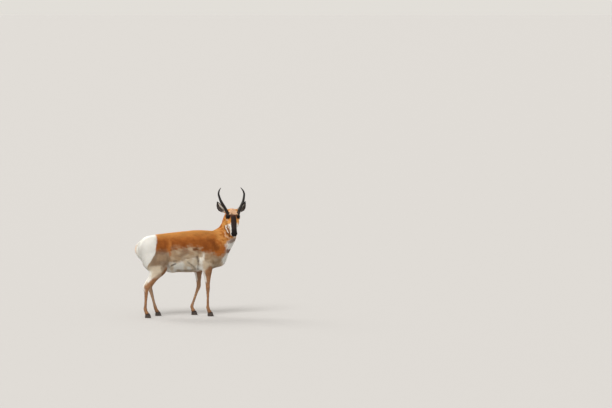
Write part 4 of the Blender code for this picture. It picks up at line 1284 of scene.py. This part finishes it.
@dataclass
class Eyeball:
    """One large dark eye with a long level pupil."""

    body: Body
    side: Side

    def build(self) -> Thing:
        """Makes the eyeball as a sphere at its solid's place."""
        bm = bmesh.new()
        radius = self.body.build.eye_radius
        bmesh.ops.create_uvsphere(bm, u_segments=72, v_segments=48, radius=radius)
        out, corner, up = self.body.eye_axes(self.side)
        turn = Matrix((corner, up, out)).transposed().to_4x4()
        bmesh.ops.transform(bm, matrix=Matrix.Translation(self.body.eye[self.side]) @ turn, verts=bm.verts)
        bmesh.ops.recalc_face_normals(bm, faces=bm.faces)
        eye = object_of(f"eyeball_{self.side.word}", bm)
        mesh = eye.data
        way = points_of(mesh) - self.body.eye[self.side]
        long, high = way @ corner, way @ up
        off, pupil = np.hypot(long, high), np.hypot(long / 0.0092, high / 0.0050)
        paint(mesh, laid(even(srgb(40, 30, 25), way), [
            (srgb(30, 19, 13), ramp(0.0165, 0.0150, off)),
            (srgb(52, 31, 18), 0.6 * band(off, 0.0105, 0.0010, 0.0030)),
            (srgb(6, 6, 8), ramp(1.10, 0.92, pupil)),
        ]))
        return ride(eye, EYE.made(), "eye", f"eye_{self.side.word}")


# The coat
class Strand(Enum):
    """How a tuft is made: straight for short hair, bent for long. The value is its number of corners."""

    STRAIGHT = 4
    BENT = 7

    @property
    def kept(self) -> list[int]:
        """Which of a tuft's seven corners it has."""
        return [0, 1, 2, 6] if self is Strand.STRAIGHT else list(range(7))

    @property
    def faces(self) -> Array:
        """The tuft's triangles, facing outwards."""
        if self is Strand.STRAIGHT:
            return np.array([(0, 1, 2), (0, 3, 1), (1, 3, 2), (2, 3, 0)])
        return np.array([
            (0, 1, 2),
            (0, 4, 1), (0, 3, 4), (1, 5, 2), (1, 4, 5), (2, 3, 0), (2, 5, 3),
            (3, 6, 4), (4, 6, 5), (5, 6, 3),
        ])


@dataclass(frozen=True)
class Growth:
    """How the hair grows in one region: sizes in metres, tufts a square metre, and stray angle."""

    length: float
    width: float
    height: float
    density: float
    stray: float = 0.16

    @property
    def row(self) -> Array:
        """The growth as numbers, in the order above."""
        return np.array([self.length, self.width, self.height, self.density, self.stray])


LENGTH, WIDTH, HEIGHT, DENSITY, STRAY = range(5)
LONG_HAIR = 0.014
TRUNK = Growth(0.024, 0.0019, 0.0038, 185000, 0.13)
NECK = Growth(0.026, 0.0018, 0.0042, 200000, 0.16)
BELLY = Growth(0.027, 0.0020, 0.0044, 165000, 0.18)
RUMP = Growth(0.036, 0.0021, 0.0056, 190000, 0.17)
TAIL = Growth(0.050, 0.0026, 0.0130, 120000, 0.24)
MANE = Growth(0.040, 0.0022, 0.0085, 190000, 0.22)
CROWN = Growth(0.022, 0.0011, 0.0075, 400000, 0.40)
LEG = Growth(0.011, 0.0012, 0.0018, 220000, 0.12)
CORONET = Growth(0.015, 0.0012, 0.0034, 260000, 0.22)
FACE = Growth(0.0075, 0.0011, 0.0018, 300000, 0.14)
MUZZLE = Growth(0.0042, 0.0009, 0.0010, 420000, 0.14)
EAR = Growth(0.0090, 0.0010, 0.0016, 240000, 0.16)
EAR_HAIR = Growth(0.0170, 0.0011, 0.0044, 230000, 0.30)


# Lashes on each upper lid, how long each half of one is, and half its width
LASHES_EACH, LASH_LENGTH, LASH_HALF = 34, 0.0056, 0.00035

# Where a tuft's seven corners lie round its root on the unwrap
TUFT_PATCH = np.array([(-1, -1), (1, -1), (0, -1), (-1, 0.2), (1, 0.2), (0, 0.2), (0, 1)]) * 0.0015


@dataclass
class Tufts:
    """Tufts of one piece: their roots, corners, the way each corner takes the light, and their colours."""

    roots: Array
    corners: Array
    shading: Array
    colours: Array


@dataclass
class Coat:
    """All the hair, grown from the skin along the lie of the coat and parted into pieces."""

    skin: Skin
    surface: Thing
    seed: int = 5

    def regions(self) -> None:
        """Works out which part of the body every point of the skin belongs to."""
        body, skin, mesh = self.skin.body, self.skin, self.surface.data
        self.points, self.normals = points_of(mesh), normals_of(mesh)
        self.place, self.face = body.in_body(self.points), body.in_head(self.points)
        x, y, z = self.place.T
        self.head, self.ears = skin.head_share(self.points), skin.ear_shares(self.points)
        self.short = skin.short_share(self.points)
        past = body.past_cut(self.points, body.build.neck_cut, body.build.neck_cut_faces)
        self.neck = ramp(-0.03, 0.05, past) * (z > 0.62)
        self.rump = ramp(-0.29, -0.35, x) * ramp(0.47, 0.56, z)
        self.tail = ramp(-0.495, -0.510, x) * band(y, 0, 0.022, 0.006) * ramp(0.62, 0.64, z)
        self.belly = ramp(-0.35, -0.80, self.normals[:, 2]) * ramp(0.42, 0.47, z) * (z < 0.62)

    def growing(self) -> Array:
        """How the hair grows at every point of the skin, ears apart: one row of numbers a point."""
        x, y, z = self.place.T
        down, crown, aside = self.face.T
        nape = band(y, 0.02, 0.020, 0.012) * ramp(0.865, 0.91, z) * ramp(0.33, 0.37, x) * ramp(0.43, 0.40, x)
        tuft = band(aside, 0, 0.026, 0.008) * ramp(0.012, -0.006, down) * ramp(0.036, 0.050, crown)
        return laid(even(TRUNK.row, x), [
            (BELLY.row, self.belly),
            (NECK.row, self.neck),
            (RUMP.row, self.rump),
            (TAIL.row, self.tail),
            (LEG.row, ramp(0.500, 0.420, z)),
            (CORONET.row, ramp(0.070, 0.052, z)),
            (FACE.row, self.short),
            (MANE.row, nape * (1 - self.short)),
            (MUZZLE.row, self.head * ramp(0.10, 0.17, down)),
            (CROWN.row, tuft * self.head),
        ])

    def lying(self) -> Array:
        """Which way the hair lies at every point of the skin, ears apart."""
        x, y, z = self.place.T
        outward = np.stack([np.zeros(len(y)), np.sign(y), np.zeros(len(y))], 1)
        rump_lie = np.array((-0.45, 0, -0.85)) + 0.35 * outward * ramp(0.0, 0.05, np.abs(y))[:, None]
        back = -np.array(self.skin.body.face)
        cheek = back - 0.35 * np.array(self.skin.body.crown)
        return laid(even((-1.0, 0.0, -0.28), x), [
            ((-0.25, 0, -1.0), ramp(0.30, 0.42, x) * (z < 0.80)),
            ((-0.55, 0.05, -0.85), self.neck),
            (rump_lie, self.rump),
            ((-0.30, 0, -1.0), band(x, -0.27, 0.06, 0.05) * ramp(0.72, 0.62, z) * (z > 0.42)),
            ((-0.10, 0, -1.0), ramp(0.52, 0.44, z) * (1 - self.belly)),
            ((-1.0, 0, 0.0), self.belly),
            ((0.0, 0, -1.0), self.tail),
            (lay(even(back, x), cheek, ramp(0.02, -0.04, self.face[:, 1])), self.head),
        ])

    def fields(self) -> None:
        """Works out, at every point of the skin, how the hair there grows and which way it lies."""
        self.regions()
        body, growth, lie = self.skin.body, self.growing(), self.lying()
        for side, cover in self.ears.items():
            _, along, across, cup = body.ear_axes(side)
            share, edge, _ = body.in_ear(self.points, side)
            hairy = ramp(0.1, 0.5, self.normals @ cup) * ramp(0.95, 0.75, share)
            hairy = hairy * ramp(0.026, 0.018, np.abs(edge))
            growth = lay(growth, lay(even(EAR.row, share), EAR_HAIR.row, hairy), cover)
            lie = lay(lie, along - across * (0.9 * hairy * np.sign(edge))[:, None] * 0.5, cover)
        for side in Side:
            far, forward = body.round_eye(self.points, side)
            growth[:, DENSITY] *= 1 - ramp(0.0290, 0.0272, far) * ramp(-0.002, 0.002, forward)
            growth[:, DENSITY] *= ramp(0.0035, 0.0060, near_course(self.face, mirrored(NOSTRIL, side)))
        growth[:, DENSITY] *= ramp(0.0010, 0.0024, near_course(self.face[:, :2], MOUTH))
        sway = ripple(self.place, 0.09, 51)[:, None] * np.cross(lie, self.normals)
        lie = unit(lie) + 0.22 * sway * (1 - self.head)[:, None]
        smooth = np.full(len(lie), 0.5)
        self.lie = along_surface(relax(lie, edges_of(self.surface.data), 6, smooth), self.normals)
        self.growth = growth

    def roots(self) -> None:
        """Scatters the roots over the skin, thickest where the growth says so."""
        mesh = self.surface.data
        mesh.calc_loop_triangles()
        triangles = numbers_of(mesh.loop_triangles, "vertices", 3, np.int32)
        a, b, c = (self.points[triangles[:, k]] for k in range(3))
        area = np.linalg.norm(np.cross(b - a, c - a), axis=1) / 2
        wanted = np.cumsum(area * self.growth[triangles, DENSITY].mean(axis=1))
        count = int(wanted[-1])
        draw = np.random.default_rng(self.seed)
        steps = (np.arange(count) + draw.random(count)) / count * wanted[-1]
        chosen = triangles[np.minimum(np.searchsorted(wanted, steps), len(triangles) - 1)]
        first, second = draw.random(count), draw.random(count)
        fold = first + second > 1
        first, second = np.where(fold, 1 - first, first), np.where(fold, 1 - second, second)
        shares = np.stack([1 - first - second, first, second], 1)

        def blended(values: Array) -> Array:
            """The values read at the roots."""
            return np.einsum("nk,nk...->n...", shares, values[chosen])

        self.root = blended(self.points)
        self.facing = unit(blended(self.normals))
        self.way = along_surface(blended(self.lie), self.facing)
        self.size = blended(self.growth)
        self.root_head = blended(self.head)
        self.root_neck = blended(self.neck)
        self.root_ears = {side: blended(cover) for side, cover in self.ears.items()}
        self.draw = draw

    def colours(self) -> Array:
        """Each tuft's own colour: the markings at its middle, a little different from tuft to tuft."""
        middle = self.root + self.way * (self.size[:, LENGTH] * 0.5)[:, None]
        coat = self.skin.markings.at(middle, self.facing, self.root_head, self.root_ears)
        light = 1 + self.draw.normal(0, 0.08, len(coat))
        warm = self.draw.normal(0, 0.02, len(coat))
        off_ears = sum(self.root_ears.values()) < 0.1
        crown = self.root_head * ramp(0.012, 0.020, self.size[:, LENGTH]) * off_ears
        light -= 0.15 * crown * np.maximum(self.draw.normal(0, 1, len(coat)), 0)
        coat = lay(coat, self.skin.markings.colours.tan, 0.65 * crown * self.draw.random(len(coat)) ** 2)
        return np.clip(coat * (light[:, None] + warm[:, None] * (1, 0, -1)), 0, 1)

    def grow(self) -> None:
        """Works out the corners of every tuft, root, bend and tip."""
        count = len(self.root)
        length = self.size[:, LENGTH] * self.draw.uniform(0.75, 1.2, count)
        height = self.size[:, HEIGHT] * self.draw.uniform(0.7, 1.12, count)
        side = np.cross(self.way, self.facing)
        stray = self.draw.normal(0, 1, count) * self.size[:, STRAY]
        self.way = unit(self.way + side * stray[:, None])
        side = np.cross(self.way, self.facing)
        half = self.size[:, WIDTH] * self.draw.uniform(0.4, 0.6, count)
        thick = half * 0.8

        bend = self.root + self.way * (length * 0.45)[:, None]
        tip = self.root + self.way * length[:, None]
        bend_normal = self.facing.copy()
        tip_normal = self.facing.copy()
        tree = BVHTree.FromObject(self.surface, bpy.context.evaluated_depsgraph_get())
        long = (length > LONG_HAIR) & (sum(self.root_ears.values()) < 0.3)
        bent = long & ((self.root_head > 0.5) | (self.size[:, HEIGHT] > 0.010))
        for ends, facings, chosen in ((tip, tip_normal, long), (bend, bend_normal, bent)):
            for i in np.nonzero(chosen)[0]:
                place, normal, _, _ = tree.find_nearest(Vector(ends[i]))
                ends[i], facings[i] = place, normal
        low, high = (np.array(corner) for corner in CAD_BOX)
        bend = np.clip(bend + bend_normal * (height * 0.78)[:, None], low, high)
        tip = np.clip(tip + tip_normal * height[:, None], low, high)

        base = self.root - self.facing * 0.0010
        self.corners = np.stack([
            base - side * half[:, None],
            base + side * half[:, None],
            base + self.facing * thick[:, None],
            bend - side * (half * 0.8)[:, None],
            bend + side * (half * 0.8)[:, None],
            bend + bend_normal * (thick * 0.8)[:, None],
            tip,
        ], 1)
        # each tuft takes the light much as the skin below it does, so that the coat reads as one soft surface
        lean = side * 0.45
        self.shading = unit(np.stack([
            self.facing - lean,
            self.facing + lean,
            self.facing,
            bend_normal - lean,
            bend_normal + lean,
            bend_normal,
            tip_normal,
        ], 1))

    def unwrap(self, name: str, points: Array) -> Array:
        """Where each root lies on an unwrap of one part of the skin, rolled out flat.

        Args:
            name: the part's name.
            points: the roots' places in the frame.

        Returns:
            N by 2 places in the unit square.
        """
        place = self.skin.body.in_body(points)
        x, y, z = place.T
        if name.startswith(("head", "ear", "lashes")):
            run, crown, left = self.skin.body.in_head(points).T
            turn = np.arctan2(left, crown + 0.02)
        elif name.startswith("leg"):
            turn, run = np.arctan2(y - y.mean(), x - x.mean()), z
        elif name == "neck":
            turn, run = np.arctan2(y, x - 0.44), z
        elif name == "tail":
            turn, run = np.arctan2(y, x + 0.505), z
        else:
            turn, run = np.arctan2(np.abs(y), z - 0.69), x
        flat = np.stack([turn, run], 1)
        low, high = flat.min(axis=0), flat.max(axis=0)
        return 0.01 + 0.98 * (flat - low) / np.maximum(high - low, 1e-6)

    def piece(self, name: str, strand: Strand, tufts: Tufts, finish: Material) -> None:
        """Joins tufts into one piece of coat."""
        corners, shading = tufts.corners[:, strand.kept], tufts.shading[:, strand.kept]
        count, each = corners.shape[:2]
        faces = (strand.faces[None] + (np.arange(count) * each)[:, None, None]).reshape(-1, 3)
        mesh = bpy.data.meshes.new(f"coat_{name}")
        mesh.vertices.add(count * each)
        mesh.vertices.foreach_set("co", corners.astype(np.float32).ravel())
        mesh.loops.add(faces.size)
        mesh.loops.foreach_set("vertex_index", faces.astype(np.int32).ravel())
        mesh.polygons.add(len(faces))
        mesh.polygons.foreach_set("loop_start", np.arange(0, faces.size, 3, dtype=np.int32))
        mesh.update(calc_edges=True)

        # painted shade at each tuft's root and painted light at its tip
        tone = np.ones(each)
        tone[:3] = ROOT_SHADE
        tone[-1] = TIP_LIGHT
        paint(mesh, (tufts.colours[:, None] * tone[None, :, None]).reshape(-1, 3))
        unwrapped = (self.unwrap(name, tufts.roots)[:, None] + TUFT_PATCH[strand.kept][None]).reshape(-1, 2)
        layer = mesh.uv_layers.new(name="OFBake")
        layer.data.foreach_set("uv", unwrapped[faces.ravel()].astype(np.float32).ravel())
        obj = linked(f"coat_{name}", mesh)
        ride(obj, finish, "coat_white" if name.startswith(("rump", "tail")) else "coat_tan")
        mesh.normals_split_custom_set_from_vertices(shading.reshape(-1, 3).astype(np.float32))

    def build(self) -> None:
        """Grows the whole coat and joins it piece by piece."""
        self.fields()
        self.roots()
        self.grow()
        colours = self.colours()
        finish = HAIR.made()
        build = self.skin.body.build
        x, y, z = self.skin.body.in_body(self.root).T
        ear = sum(self.root_ears.values()) > 0.5
        head = (self.root_head > 0.5) & ~ear
        leg = (z < build.leg_cut) & ~head
        neck = (self.root_neck > 0.5) & ~head & ~ear & ~leg
        rest = ~(ear | head | leg | neck)
        tail = rest & (x < -0.503) & (np.abs(y) < 0.026) & (z > 0.62)
        rest &= ~tail
        long_head = head & (self.size[:, LENGTH] > LONG_HAIR)
        parts = {
            "head": (head & ~long_head, Strand.STRAIGHT),
            "head_crown": (long_head, Strand.BENT),
            "ears": (ear, Strand.STRAIGHT),
            "neck": (neck, Strand.STRAIGHT),
            "tail": (tail, Strand.BENT),
        }
        for side in Side:
            near = y * side.value > 0
            parts[f"rump_{side.word}"] = (rest & near & (x < build.rump_cut), Strand.STRAIGHT)
            barrel = (x >= build.rump_cut) & (x < build.shoulder_cut)
            parts[f"barrel_{side.word}"] = (rest & near & barrel, Strand.STRAIGHT)
            parts[f"shoulder_{side.word}"] = (rest & near & (x >= build.shoulder_cut), Strand.STRAIGHT)
            parts[f"leg_fore_{side.word}"] = (leg & near & (x > 0), Strand.STRAIGHT)
            parts[f"leg_hind_{side.word}"] = (leg & near & (x <= 0), Strand.STRAIGHT)
        for name, (chosen, strand) in parts.items():
            tufts = Tufts(self.root[chosen], self.corners[chosen], self.shading[chosen], colours[chosen])
            self.piece(name, strand, tufts, finish)
        self.piece("lashes", Strand.BENT, self.lashes(), finish)

    def lashes(self) -> Tufts:
        """A row of black lashes on the edge of each upper lid."""
        body, build = self.skin.body, self.skin.body.build
        count = LASHES_EACH
        rows: list[list[Array]] = []
        for side in Side:
            out, corner, up = body.eye_axes(side)
            turns = np.radians(np.linspace(22, 158, count) + self.draw.normal(0, 1.2, count))
            across, over = np.cos(turns)[:, None], np.sin(turns)[:, None]
            pinch = 1 - 0.36 * np.abs(across)
            long, high = across * build.lid_half_long * 1.08, over * build.lid_half_high * pinch * 1.08
            reach = build.eye_radius + 0.0012
            forward = np.sqrt(np.maximum(reach**2 - long**2 - high**2, 0))
            root = body.eye[side] + corner * long + up * high + out * forward
            away = unit(corner * across + up * over)
            stray = self.draw.normal(0, 0.12, (count, 3))
            way = unit(out * 0.85 + away * 0.50 + stray)
            length = LASH_LENGTH * (0.5 + 0.5 * over) * self.draw.uniform(0.75, 1.15, (count, 1))
            bend = root + way * length
            tip = bend + unit(out * 0.70 + away * 0.15 + corner * 0.30 + stray) * length
            aside = unit(np.cross(way, away)) * LASH_HALF
            thick = away * LASH_HALF
            base = root - way * 0.001
            corners = np.stack([
                base - aside, base + aside, base + thick,
                bend - aside * 0.7, bend + aside * 0.7, bend + thick * 0.7, tip,
            ], 1)
            shading = np.repeat(unit(away + out)[:, None], 7, axis=1)
            black = even(self.skin.markings.colours.black, turns)
            rows.append([root, corners, shading, black])
        return Tufts(*(np.concatenate(parts) for parts in zip(*rows)))


# The studio
def aim(obj: Thing, place: Sequence[float], forward: Vector) -> None:
    """Sets a lamp or camera at a place, looking forward."""
    obj.location = place
    obj.rotation_mode = "QUATERNION"
    obj.rotation_quaternion = forward.to_track_quat("-Z", "Y")


@dataclass
class Studio:
    """A plain pale floor, soft light and a camera at the photograph's angle."""

    body: Body
    azimuth_deg: float = -15.0
    elevation_deg: float = 4.0
    distance: float = 40.0
    width: float = 6.487
    right_of_middle: float = 1.285
    above_floor: float = 1.187

    def floor(self) -> None:
        """A wide pale floor."""
        bm = bmesh.new()
        bmesh.ops.create_grid(bm, x_segments=1, y_segments=1, size=400.0)
        floor = object_of("floor", bm)
        made = bpy.data.materials.new("floor")
        made.use_nodes = True
        shader = made.node_tree.nodes["Principled BSDF"]
        shader.inputs["Base Color"].default_value = (0.447, 0.440, 0.436, 1.0)
        shader.inputs["Roughness"].default_value = 0.9
        floor.data.materials.append(made)

    def light(self, name: str, place: Vector, spread_deg: float, power: float, warmth: Colour) -> None:
        """One soft, even light that comes from the given way."""
        lamp = bpy.data.lights.new(name, "SUN")
        lamp.angle = math.radians(spread_deg)
        lamp.energy = power
        lamp.color = warmth
        aim(linked(name, lamp), place, -place)

    def camera(self) -> None:
        """The camera, with the animal where the photograph has it in the frame."""
        turn, rise = math.radians(self.azimuth_deg), math.radians(self.elevation_deg)
        right = Vector((math.cos(turn), math.sin(turn), 0))
        forward = Vector((-math.sin(turn) * math.cos(rise), math.cos(turn) * math.cos(rise), -math.sin(rise)))
        up = right.cross(forward)
        middle = Vector((self.body.shift.x, self.body.shift.y, 0))
        target = middle + right * self.right_of_middle + up * self.above_floor
        data = bpy.data.cameras.new("camera")
        data.sensor_width = 36.0
        data.lens = data.sensor_width * self.distance / self.width
        data.clip_end = 200.0
        camera = linked("camera", data)
        aim(camera, target - forward * self.distance, forward)
        bpy.context.scene.camera = camera

    def build(self) -> None:
        """Sets up floor, lights, surroundings and camera."""
        self.floor()
        self.camera()
        self.light("key", Vector((-3.0, -4.5, 6.5)), 28.0, 2.35, (1.0, 0.98, 0.95))
        self.light("rim", Vector((-2.5, 5.0, 5.0)), 30.0, 1.2, (1.0, 0.97, 0.92))
        world = bpy.data.worlds.new("soft surroundings")
        world.use_nodes = True
        world.node_tree.nodes["Background"].inputs["Color"].default_value = (0.762, 0.736, 0.690, 1.0)
        world.node_tree.nodes["Background"].inputs["Strength"].default_value = 1.0
        bpy.context.scene.world = world
        bpy.context.scene.view_settings.view_transform = "Standard"


def main() -> None:
    """Builds the animal and its studio."""
    logging.basicConfig(level=logging.INFO, format="%(message)s")
    body = Body(Build())
    markings = Markings(body, CoatColours())
    Studio(body).build()
    for side in Side:
        Eyeball(body, side).build()
        Horn(body, side).build()
    Hooves(body).build()
    skin = Skin(body, markings)
    surface = skin.build()
    Coat(skin, surface).build()


if __name__ == "__main__":
    main()
